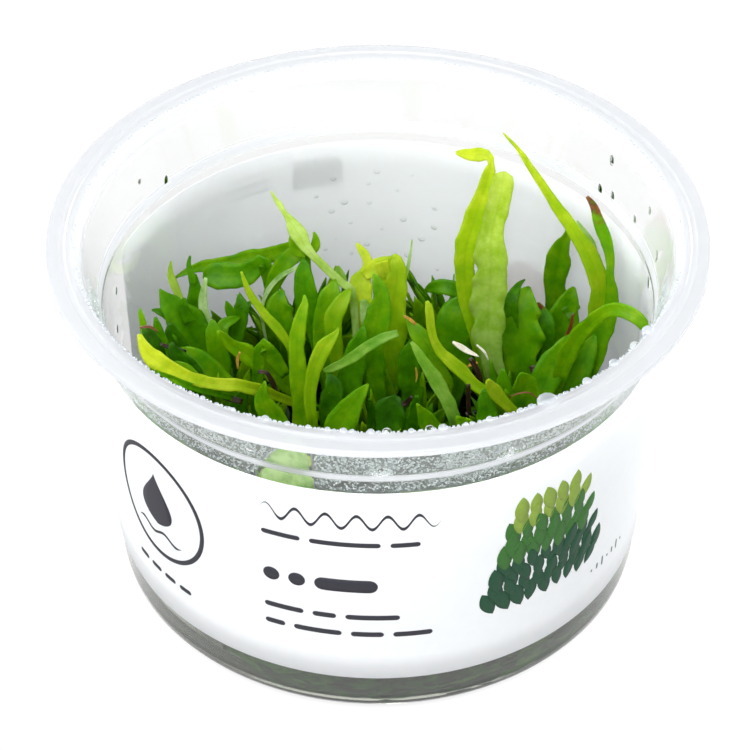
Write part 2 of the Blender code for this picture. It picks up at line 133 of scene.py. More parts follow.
# Long leaves, each as blades: facing azimuth, tone at its root and tip (0 dark, 1 lime), how wavy
# its edge is, how pale (partly painted wet sheen) and how dry it is, then x, y, z and width in mm
# from the root to the tip
LEAVES = {
    "right_1": [
        (-80, 0.4, 0.97, 0.3, 0, 0, [(20, 10, 11, 1.6), (15.4, 11, 32.4, 2.2),
         (14.3, 11.5, 37.1, 2.7), (13.8, 12.1, 40.8, 3), (13.6, 12.6, 44.4, 3.2),
         (13.8, 13.1, 47.6, 3.5), (14.6, 13.7, 50.7, 3.6), (15.4, 14.2, 53.8, 3.3),
         (16.2, 14.7, 56.3, 2.6), (16.8, 15.3, 58.6, 2.2), (17.3, 15.8, 60.6, 1.7),
         (17.5, 16.3, 61.5, 0.9), (17.2, 16.9, 62.3, 1.5), (15.9, 17.4, 62.3, 2.2),
         (14.4, 17.9, 61.9, 1.9), (13.2, 18.5, 61.7, 1.4), (12.1, 19, 61.5, 0.5)]),
    ],
    "right_2": [
        (-100, 0.4, 0.92, 0.3, 0.22, 0, [(22, 8, 11, 1.3), (19.8, 9, 21, 2.6),
         (18.9, 9.5, 24.3, 3.2), (18.2, 9.9, 28.1, 3.7), (17.6, 10.4, 32.9, 5),
         (17.6, 10.9, 38.7, 5.4), (17.8, 11.3, 43.4, 5.4), (17.7, 11.8, 47, 5.2),
         (17.7, 12.2, 49.6, 4.4), (17.9, 12.7, 51.6, 3.6), (18.4, 13.2, 53.8, 3.6),
         (18.9, 13.6, 56.4, 3.6), (19.2, 14.1, 58.3, 3.6), (19.3, 14.6, 59.7, 3.4),
         (19.5, 15, 60.4, 2.2), (19.5, 15.5, 60.4, 0.6)]),
    ],
    "right_3": [
        (-80, 0.4, 0.92, 0.3, 0, 0, [(30, 10, 12, 0.9), (33.7, 12, 22.1, 2.3),
         (34.2, 12.7, 27.9, 2.6), (34.9, 13.3, 32.6, 2.9), (35.4, 14, 36.2, 3.2),
         (35.3, 14.7, 38.7, 3.2), (34.5, 15.3, 41.2, 3.2), (33.7, 16, 43.1, 3),
         (32.7, 16.7, 44.8, 2.7), (31.5, 17.3, 46.5, 2.4), (30.4, 18, 48, 2.1),
         (29.1, 18.7, 49.7, 1.9), (27.8, 19.3, 51.5, 1.7), (26.5, 20, 53.4, 1.4),
         (25.2, 20.7, 55.2, 1.3), (24, 21.3, 56.9, 1.1), (22.9, 22, 58.5, 0.9),
         (21.8, 22.7, 59.8, 0.6), (20.7, 23.3, 60.8, 0.5), (19.6, 24, 61.7, 0.2)]),
    ],
    "right_4": [
        (-105, 0.42, 0.5, 0.3, 0, 0.75, [(30, 6, 12, 1.1), (33.8, 8, 24.9, 2.3),
         (34.7, 8.8, 28, 2.9), (35.5, 9.6, 31.1, 3), (36.4, 10.4, 34, 2.9),
         (37.1, 11.1, 36.8, 2.4), (37.1, 11.9, 39.5, 1.9), (36.7, 12.7, 42.1, 1.3),
         (36.7, 13.5, 43.9, 1.3), (36.5, 14.3, 45.5, 1.6), (36, 15.1, 47.2, 1.9),
         (35.3, 15.9, 48.8, 2), (34.6, 16.6, 50.4, 1.7), (34.1, 17.4, 51.8, 1.3),
         (33.5, 18.2, 52.6, 0.9), (32.9, 19, 53, 0.5)]),
    ],
    "right_5": [
        (-90, 0.5, 0.54, 0.3, 0, 0, [(27, 4, 13, 0.8), (28.5, 5, 24.5, 1.9),
         (29.1, 4.2, 29.3, 2.4), (30.1, 3.5, 34.1, 2.8), (31.4, 2.7, 38.1, 2.7),
         (32.8, 1.9, 40.9, 2.3), (34.2, 1.1, 43.4, 2.2), (35.6, 0.4, 45, 2.2),
         (37.1, -0.4, 45.8, 2.2), (38.6, -1.2, 45.8, 2.2), (39.7, -2, 45.5, 2.1),
         (40.7, -2.7, 44.7, 1.7), (41.3, -3.5, 43.8, 0.6)]),
    ],
    "right_6": [
        (-80, 0.36, 0.46, 0.3, 0, 0, [(26, 7, 13, 1.4), (25.9, 3, 24.5, 3.2), (26.3, 4, 26.6, 4.5),
         (27.2, 5, 28.9, 4.8), (28.5, 6, 31, 4), (29.9, 7, 32.6, 2.9), (31, 8, 33.2, 1.6),
         (31.8, 9, 33.4, 0.5)]),
    ],
    "right_7": [
        (-95, 0.36, 0.48, 0.5, 0, 0, [(23, 10, 12, 1.4), (23, 11, 23.2, 4.9), (22.9, 12, 27, 6.5),
         (22.9, 13, 30.8, 7.1), (23, 14, 33.5, 6.4), (23.4, 15, 35.1, 4.8), (23.9, 16, 36.2, 2.2),
         (24.3, 17, 36.4, 0.5)]),
        (-90, 0.5, 0.6, 0.3, 0.85, 0, [(24.7, 13, 28.7, 0.6), (24.5, 14, 31, 1.6),
         (24.5, 15, 33.1, 0.5)]),
    ],
    "right_8": [
        (-85, 0.44, 0.5, 0.3, 0, 0, [(25, 1, 13, 1.4), (23.2, 0, 24.6, 5.4), (23.2, -0.5, 28, 5.4),
         (22.9, -1, 30.9, 4.7), (22.5, -1.5, 33, 2.8), (22.2, -2, 34.4, 0.6)]),
    ],
    "right_9": [
        (-75, 0.44, 0.88, 0.3, 0, 0, [(23, 2, 13, 0.7), (21.4, 2, 22.9, 1.4),
         (19.5, 2.5, 24.5, 1.6), (17.4, 3.1, 25.9, 1.8), (15.3, 3.6, 27.3, 1.9),
         (13.5, 4.2, 29.2, 2.1), (11.6, 4.7, 31, 2.1), (10, 5.3, 32.4, 1.7), (9, 5.8, 34.2, 1.4),
         (8.4, 6.4, 36.2, 1.4), (8.2, 6.9, 38.2, 1.4), (8, 7.5, 39.8, 1.3), (7.7, 8, 40.8, 0.5)]),
    ],
    "right_10": [
        (-75, 0.46, 0.86, 0.3, 0, 0, [(24, -3, 13, 0.7), (21.4, -3, 27, 1.6),
         (19.7, -3.6, 29.7, 1.9), (18.4, -4.2, 32.1, 2.2), (17.4, -4.9, 34.2, 2),
         (16.9, -5.5, 36, 0.6)]),
    ],
    "right_11": [
        (-140, 0.3, 0.55, 0.5, 0, 0, [(31, 0, 13, 1), (34.5, -4, 24, 2.3), (36.5, -8, 32, 3),
         (36.2, -10, 34.5, 2.3), (36, -12, 37, 0.3)]),
    ],
    "middle_1": [
        (-75, 0.42, 0.56, 0.3, 0.12, 0, [(9, -1, 12, 0.8), (12.2, -2, 23.6, 2.1),
         (11.2, -1.2, 27.1, 2.2), (9.9, -0.3, 29.5, 2.4), (8.5, 0.5, 31.9, 2.2),
         (7.2, 1.3, 33.9, 1.7), (6.1, 2.2, 35.4, 1.3), (5.2, 3, 36.6, 0.5)]),
    ],
    "middle_2": [
        (-80, 0.42, 0.52, 0.3, 0, 0, [(9, 4, 12, 0.8), (10.9, 5, 26, 2.2), (9.6, 5.8, 28.8, 2.4),
         (8.4, 6.7, 31.2, 2.7), (7.3, 7.5, 33, 2.9), (6, 8.3, 34.4, 2.5), (5.1, 9.2, 35.2, 1.3),
         (4.6, 10, 35.7, 0.5)]),
    ],
    "middle_3": [
        (-95, 0.5, 0.95, 0.3, 0, 0, [(-2, 11, 12, 1.2), (-1.6, 12, 31.6, 2.6),
         (-1.9, 12.9, 34.6, 2.9), (-2.4, 13.8, 36.3, 3.2), (-2.7, 14.7, 37.7, 3.5),
         (-2.6, 15.6, 38.8, 3.2), (-1.9, 16.4, 39.9, 2.1), (-1.6, 17.3, 41.1, 1.6),
         (-2.2, 18.2, 42.2, 1.4), (-2.9, 19.1, 42.7, 1), (-3.4, 20, 43, 0.3)]),
        (-90, 0.5, 0.6, 0.3, 0.5, 0, [(-1.3, 11, 32, 1.6), (-1.8, 12, 34.5, 2.1),
         (-2.4, 13, 37, 1)]),
    ],
    "middle_4": [
        (-90, 0.34, 0.8, 0.5, 0, 0, [(3, 8, 12, 1.6), (1.6, 9, 19.3, 2.6), (1.5, 9.8, 21.8, 4.5),
         (1.5, 10.6, 25.4, 6.1), (1.6, 11.4, 29, 6), (1.9, 12.2, 32.5, 5.6), (2.2, 13, 35.3, 5.1),
         (2.7, 13.8, 38, 4), (3, 14.6, 40.2, 3.2), (3, 15.4, 41.8, 2.9), (2.7, 16.2, 42.8, 1.9),
         (2.2, 17, 42.5, 0.6)]),
        (-90, 0.9, 0.86, 0.3, 0, 0, [(-2.2, 15.5, 39.9, 1.6), (-1.1, 15.7, 40.7, 2.7),
         (0.3, 15.9, 41.2, 3.2), (1.8, 16.1, 41.4, 3.2), (3, 16.3, 41.1, 2.7),
         (4, 16.5, 40.3, 1.3)]),
        (-90, 0.92, 0.9, 0.3, 0, 0, [(0.5, 15, 43.1, 1.9), (1, 14.8, 41.2, 2.1),
         (1.3, 14.7, 39.5, 1.1), (1.6, 14.5, 37.6, 0.2)]),
        (-90, 0.5, 0.6, 0.3, 0.6, 0, [(4.5, 15, 40.3, 0.5), (4.9, 16, 42.3, 0.5),
         (5.2, 17, 43.9, 0.3), (5.4, 18, 45.2, 0.2)]),
    ],
    "middle_5": [
        (-85, 0.36, 0.48, 0.3, 0, 0, [(1, 3, 13, 1.3), (-0.9, 5, 32.8, 3.8),
         (-0.5, 5.8, 36.3, 4.3), (0.2, 6.6, 39.5, 3.9), (0.5, 7.4, 42.1, 2.7), (0, 8.2, 44.1, 1.9),
         (-0.6, 9, 45.4, 0.5)]),
    ],
    "middle_6": [
        (-75, 0.4, 0.88, 0.3, 0.35, 0, [(-3, 7, 13, 0.8), (-4.1, 13, 38.6, 1.3),
         (-6, 13.9, 39.9, 1.3), (-8.3, 14.8, 42, 1.3), (-10.5, 15.7, 44.1, 1.4),
         (-11.7, 16.6, 45.2, 1.9), (-12.5, 17.5, 46.5, 2.7), (-13.5, 18.5, 47.6, 2.2),
         (-14.1, 19.4, 48.3, 1.3), (-14.9, 20.3, 49, 0.8), (-15.6, 21.2, 49.7, 1),
         (-16.2, 22.1, 50, 0.6), (-17, 23, 51.1, 0.2)]),
        (-90, 0.56, 0.64, 0.3, 0, 0, [(-10.5, 18, 42.4, 0.8), (-10, 18.3, 43.7, 1.4),
         (-9.9, 18.7, 44.9, 1.1), (-10.2, 19, 46, 0.3)]),
        (-90, 0.5, 0.6, 0.3, 0.2, 0, [(-5.1, 15, 37.6, 0.8), (-5.7, 15.3, 39.2, 1.4),
         (-6.1, 15.7, 40.3, 1.3), (-6.4, 16, 41.5, 0.5)]),
        (-90, 0.5, 0.6, 0.3, 0, 0, [(-11.5, 19, 41.2, 1), (-13, 19.3, 42.3, 2.1),
         (-13.6, 19.7, 43.9, 1.4), (-13.7, 20, 45.2, 0.5)]),
    ],
    "middle_7": [
        (-80, 0.34, 0.48, 0.3, 0, 0, [(-6, -7, 12, 1.4), (-6.5, -11, 30.1, 4),
         (-5.5, -10.7, 32.3, 4.5), (-4.3, -10.4, 34.5, 3.8), (-3.1, -10.1, 36.5, 2.5),
         (-2.1, -9.8, 37.9, 1.2), (-1.5, -9.5, 38.6, 0.3)]),
    ],
    "middle_8": [
        (-98, 0.34, 0.42, 0.3, 0, 0, [(11, 11, 12, 1.3), (13.7, 13, 22.7, 3.3),
         (12.7, 13.8, 25.4, 5.2), (12.2, 14.7, 27.7, 5.7), (12.3, 15.5, 30, 5.8),
         (12.8, 16.3, 31.8, 5.2), (13.7, 17.2, 33, 2.9), (14.7, 18, 33.8, 0.6)]),
        (-90, 0.5, 0.5, 0.3, 0.5, 0, [(18.1, 12, 24.9, 1.3), (16.8, 12.5, 28.7, 2.4),
         (15.6, 13, 31.6, 2.3), (14.8, 13.5, 33.9, 1.3), (14.4, 14, 35.1, 0.5)]),
    ],
    "middle_9": [
        (-88, 0.44, 0.64, 0.3, 0, 0, [(-9, -1, 12, 0.8), (-11.8, -4, 23.9, 3),
         (-11.8, -3.3, 27.5, 3.3), (-11.9, -2.6, 31, 3.4), (-12.5, -1.8, 34.5, 2.8),
         (-12.6, -1.1, 37.4, 2.5), (-12.6, -0.4, 39.8, 2.5), (-12.2, 0.3, 42.2, 2.2),
         (-11.7, 1.1, 44.2, 1.7), (-11.3, 1.8, 45.4, 1.1), (-11.4, 2.5, 46.4, 0.3)]),
    ],
    "middle_10": [
        (-75, 0.42, 0.76, 0.3, 0, 0, [(-9, -5, 12, 0.9), (-10.3, -7, 29.1, 1.7),
         (-10.6, -6.5, 32.8, 1.9), (-10.4, -6, 35.4, 2), (-9.9, -5.5, 38, 2.2),
         (-9.2, -5, 40, 2.5), (-8.3, -4.5, 41.8, 2.5), (-7.2, -4, 43, 1.7),
         (-6.4, -3.5, 43.8, 0.8), (-6.1, -3, 44.4, 0.2)]),
        (-90, 0.44, 0.56, 0.3, 0.12, 0, [(3.1, -1, 41.7, 1.1), (0.9, -1.3, 41, 1.5),
         (-1.5, -1.7, 39.6, 1.7), (-3.9, -2, 37.7, 1.7), (-5.9, -2.3, 36.4, 1.4),
         (-7.5, -2.7, 35.8, 1.2), (-8.5, -3, 35.7, 0.5)]),
    ],
    "left_1": [
        (-70, 0.28, 0.42, 0.6, 0, 0, [(-25, 8, 13, 1.4), (-26.9, 11, 23.6, 4.2),
         (-28.2, 11.4, 26.8, 5.5), (-29.6, 11.9, 30, 6.1), (-30.9, 12.3, 32.8, 5.8),
         (-32.3, 12.7, 34.9, 4.8), (-33.5, 13.1, 36.4, 3.2), (-34.3, 13.6, 37.5, 1.6),
         (-34.8, 14, 38.4, 0.3)]),
        (-90, 0.26, 0.34, 0.3, 0, 0, [(-32.7, 12.5, 33.2, 1.8), (-34.2, 12.7, 34.4, 1.4),
         (-35.2, 12.8, 34.8, 1), (-36.2, 13, 34.9, 0.3)]),
        (-90, 0.26, 0.34, 0.3, 0, 0, [(-30.1, 12, 33.2, 1.9), (-31, 12.5, 35.7, 1.6),
         (-30.9, 13, 37.4, 0.5)]),
    ],
    "left_2": [
        (-100, 0.5, 1.02, 0.3, 0, 0, [(-10.5, 3, 12, 0.9), (-12.4, 1, 25, 1.3),
         (-14.1, 0, 26.9, 1.4), (-16.2, -1.5, 29.3, 1.6), (-18.1, -3, 31.6, 1.9),
         (-19.9, -4.5, 33.5, 2), (-22.2, -5.5, 35, 2), (-24.9, -6, 35.6, 1.9),
         (-27.5, -6.5, 36.7, 1.9), (-29.2, -7, 37.9, 2), (-31.1, -7.5, 39.5, 2.3),
         (-33, -8, 41.4, 2.6), (-34.6, -7.5, 42.5, 2.7), (-35.7, -7, 44.1, 1.8),
         (-36.4, -6, 45.6, 0.6)]),
        (-90, 0.34, 0.44, 0.3, 0, 0, [(-22.8, -4, 31, 0.9), (-26, -6, 34, 1.2),
         (-28.7, -7.5, 36.3, 1.2), (-31.3, -8.5, 38.6, 1.1), (-34, -9, 40.8, 0.3)]),
    ],
    "left_3": [
        (-75, 0.36, 0.46, 0.3, 0, 0, [(-24, 2, 13, 1.3), (-23.9, 3, 26.2, 3.5),
         (-25.7, 3.4, 28.6, 4.1), (-27.4, 3.8, 30.8, 3.8), (-29, 4.2, 32.3, 3.2),
         (-30.2, 4.6, 33.2, 1.9), (-31.3, 5, 33.5, 0.5)]),
    ],
    "left_4": [
        (-90, 0.36, 0.48, 0.3, 0, 0, [(-24, 6, 13, 1), (-25.1, 7.5, 24.5, 2.9),
         (-25.3, 8.1, 27.7, 3.5), (-25.9, 8.7, 30.8, 3.2), (-26.1, 9.3, 33, 2.7),
         (-26.3, 9.9, 34.1, 1.9), (-26.3, 10.5, 34.9, 0.5)]),
    ],
    "left_5": [
        (-95, 0.44, 0.58, 0.3, 0, 0, [(-14, 7, 12, 1), (-12.9, 6, 22.3, 1.9), (-15, 5.7, 26, 2.9),
         (-17.2, 5.4, 28.7, 3.2), (-19.4, 5.1, 31.1, 3.2), (-21.4, 4.9, 33, 2.8),
         (-22.9, 4.6, 34.4, 2.2), (-23.9, 4.3, 36.1, 1.4), (-25.1, 4, 38, 0.5)]),
    ],
    "left_6": [
        (-80, 0.4, 0.84, 0.3, 0, 0, [(-13.5, 8, 12, 0.6), (-13.9, 9, 29.5, 1.3),
         (-15, 9.7, 31.8, 1.4), (-16.4, 10.4, 33.7, 1.6), (-17.9, 11.1, 35.2, 1.4),
         (-19.1, 11.9, 36.7, 1.3), (-20.2, 12.6, 38.1, 1.1), (-21, 13.3, 39.8, 0.8),
         (-21.7, 14, 41.9, 0.3)]),
    ],
    "left_7": [
        (-90, 0.4, 0.52, 0.3, 0, 0, [(-17, -3, 12, 0.8), (-15.3, -7, 27, 3.1),
         (-16.5, -6.7, 29.4, 3.6), (-17.6, -6.4, 31.7, 3.3), (-18, -6.1, 33.2, 2.3),
         (-17.7, -5.8, 34.6, 1.2), (-17.5, -5.5, 35.8, 0.3)]),
    ],
    "left_8": [
        (-40, 0.28, 0.52, 0.5, 0, 0, [(-30, 0, 13, 1), (-34, -3, 22, 2.4), (-37, -5, 29, 3.2),
         (-37.5, -5.8, 32.5, 2.4), (-38, -6.5, 36, 0.3)]),
    ],
    "back_left_1": [
        (-85, 0.5, 0.5, 0.3, 0, 0, [(-11, 22, 13, 1.3), (-11.9, 22, 40.9, 1.4),
         (-14.4, 23, 39.5, 2.1), (-16.9, 24.5, 37.3, 2.6), (-19.6, 26, 35.3, 2.8),
         (-21.6, 26.5, 34.9, 2.5), (-23.3, 26.5, 34.1, 2.3), (-25.5, 26, 34.2, 2),
         (-28, 25.5, 34, 2.1), (-29.6, 25, 34, 1.5), (-31.3, 24, 34, 1.1),
         (-33.1, 23, 33.5, 0.3)]),
    ],
    "back_left_2": [
        (-85, 0.42, 0.42, 0.3, 0, 0, [(-15, 20, 13, 1.1), (-18.4, 21, 38.4, 2.3),
         (-20.2, 21.2, 36.6, 3.2), (-22.2, 21.3, 35.4, 3.9), (-24.2, 21.5, 34.9, 4.4),
         (-26.1, 21.7, 35, 4.4), (-27.6, 21.8, 35, 3.4), (-28.4, 22, 34.9, 1)]),
    ],
    "back_left_3": [
        (-80, 0.44, 0.78, 0.3, 0.15, 0, [(-21, 15, 12, 0.5), (-30.8, 16, 30, 1.1),
         (-31.7, 16.9, 32.8, 1.1), (-32.3, 17.8, 34.5, 1.3), (-33.1, 18.7, 36.1, 1.3),
         (-33.5, 19.6, 37.2, 1), (-33.3, 20.5, 39, 0.2)]),
        (-90, 0.34, 0.42, 0.3, 0, 0, [(-29.7, 17, 37, 1.1), (-30, 17.7, 38.8, 1.1),
         (-30.3, 18.3, 39.9, 0.8), (-30.1, 19, 41.2, 0.3)]),
    ],
    "back_left_4": [
        (-90, 0.26, 0.36, 0.3, 0, 0, [(-18, 14, 12, 1), (-23.2, 15, 26.2, 2.1),
         (-22.7, 15.5, 28.1, 2.3), (-22.3, 16, 30, 2.3), (-22.2, 16.5, 31.6, 2.4),
         (-22, 17, 32.9, 2.3), (-22.3, 17.5, 33.5, 1.3), (-22.4, 18, 34.2, 0.3)]),
        (-90, 0.3, 0.4, 0.3, 0, 0, [(-22.9, 16, 28.9, 1.1), (-23.6, 16.3, 30.9, 1.5),
         (-24.1, 16.7, 32.3, 1.3), (-24.5, 17, 33.5, 0.3)]),
        (-90, 0.28, 0.36, 0.3, 0, 0, [(-21.8, 16.5, 31.9, 1.5), (-21, 17, 32.7, 1),
         (-20.4, 17.5, 33.1, 0.3)]),
    ],
    "back_right_1": [
        (-88, 0.4, 0.5, 0.2, 0, 0, [(20, 24, 12, 1.3), (29.6, 23, 18.2, 3.3),
         (29.5, 23.2, 22.3, 4), (29.4, 23.5, 25.9, 3.8), (29.3, 23.8, 28.3, 3.6),
         (29, 24, 30.6, 3.6), (28.9, 24.2, 32.9, 3.8), (29.3, 24.5, 35.4, 4.1),
         (29.4, 24.8, 37.1, 3.6), (29.9, 25, 38.7, 2.6), (30.5, 25.2, 40.2, 1.5),
         (30.7, 25.5, 41.8, 0.3)]),
    ],
    "back_right_2": [
        (-80, 0.32, 0.46, 0.3, 0, 0, [(23, 16, 12, 1), (25.9, 16, 20.2, 3.9),
         (27.5, 16.7, 23.5, 4.9), (28.9, 17.3, 26.1, 5.5), (29.9, 18, 29, 5.5),
         (30.7, 18.7, 31.3, 4.2), (31.3, 19.3, 33.1, 2.3), (31.8, 20, 34, 0.5)]),
        (-90, 0.3, 0.36, 0.3, 0, 0, [(30.4, 18, 29.8, 2.3), (31.7, 18.5, 30.6, 1.6),
         (32.8, 19, 30.7, 0.5)]),
    ],
    "back_right_3": [
        (-90, 0.3, 0.42, 0.3, 0, 0, [(15, 22, 12, 0.8), (16.3, 25, 23.4, 1.7),
         (15, 25.3, 26.4, 2.6), (13.7, 25.7, 28.2, 2.8), (12, 26, 29, 2.6), (10.2, 26.3, 29, 2.5),
         (8.9, 26.7, 28.5, 1.8), (7.9, 27, 27.6, 0.7)]),
    ],
    "back_right_4": [
        (90, 0.28, 0.46, 0.5, 0, 0, [(11, 29, 13, 1.2), (9.5, 32, 18, 2.4), (6.5, 34.8, 22, 2.8),
         (2.5, 36.4, 23.5, 2), (-1.5, 37, 23, 0.4)]),
    ],
    "front_left_1": [
        (-120, 0.6, 0.84, 0.4, 0, 0, [(-15, -20, 13, 1.1), (-17, -19.5, 28, 2.5),
         (-13.5, -20.5, 33, 3.4), (-11.2, -21.2, 34, 2.6), (-9, -22, 35, 0.3)]),
    ],
    "front_left_2": [
        (-60, 0.34, 0.6, 0.6, 0, 0, [(-10, -24, 13, 1), (-7, -28, 25, 2.3), (-5, -32, 30, 3),
         (-3.5, -33.8, 30.5, 2.3), (-2, -35.5, 31, 0.3)]),
        (253, 0.45, 0.58, 0.2, 0.7, 0, [(-12, -30, 16, 2), (-13, -37.6, 28, 4),
         (-12.9, -39.2, 40, 6.4), (-12.6, -39.7, 47, 7.2), (-12.2, -40.2, 50.8, 6.4),
         (-11.9, -40.3, 54, 5.4), (-11.7, -40.3, 55.5, 2.5)]),
    ],
    "front_left_3": [
        (-150, 0.34, 0.6, 0.6, 0, 0, [(-18, -23, 13, 1.1), (-23, -26, 24, 2.5),
         (-27, -27.5, 29, 3.4), (-28.5, -26.8, 31, 2.6), (-30, -26, 33, 0.3)]),
    ],
    "front_left_4": [
        (180, 0.34, 0.6, 0.6, 0, 0, [(-19, -18, 13, 0.9), (-26, -16, 24, 2.1), (-31, -15, 29, 2.8),
         (-33, -15, 31, 2.2), (-35, -15, 33, 0.3)]),
    ],
    "front_right_1": [
        (-80, 0.34, 0.6, 0.6, 0, 0, [(13, -20, 13, 1.1), (10, -21, 25, 2.5), (7, -23, 29, 3.4),
         (5, -24, 29.5, 2.6), (3, -25, 30, 0.3)]),
    ],
    "front_right_2": [
        (-60, 0.34, 0.6, 0.6, 0, 0, [(19, -22, 13, 1), (21, -26, 25, 2.4), (23, -30, 29, 3.2),
         (22.5, -31.8, 30, 2.4), (22, -33.5, 31, 0.3)]),
    ],
    "front_right_3": [
        (-30, 0.34, 0.6, 0.6, 0, 0, [(21, -18, 13, 1), (27, -18, 25, 2.3), (31, -20, 30, 3),
         (32.5, -19.5, 32, 2.3), (34, -19, 34, 0.3)]),
    ],
    "front_right_4": [
        (30, 0.34, 0.6, 0.6, 0, 0, [(18, -14, 13, 0.9), (20, -10.5, 24, 2.1), (24, -9.5, 29, 2.8),
         (26.5, -9.2, 30.5, 2.2), (29, -9, 32, 0.3)]),
    ],
}

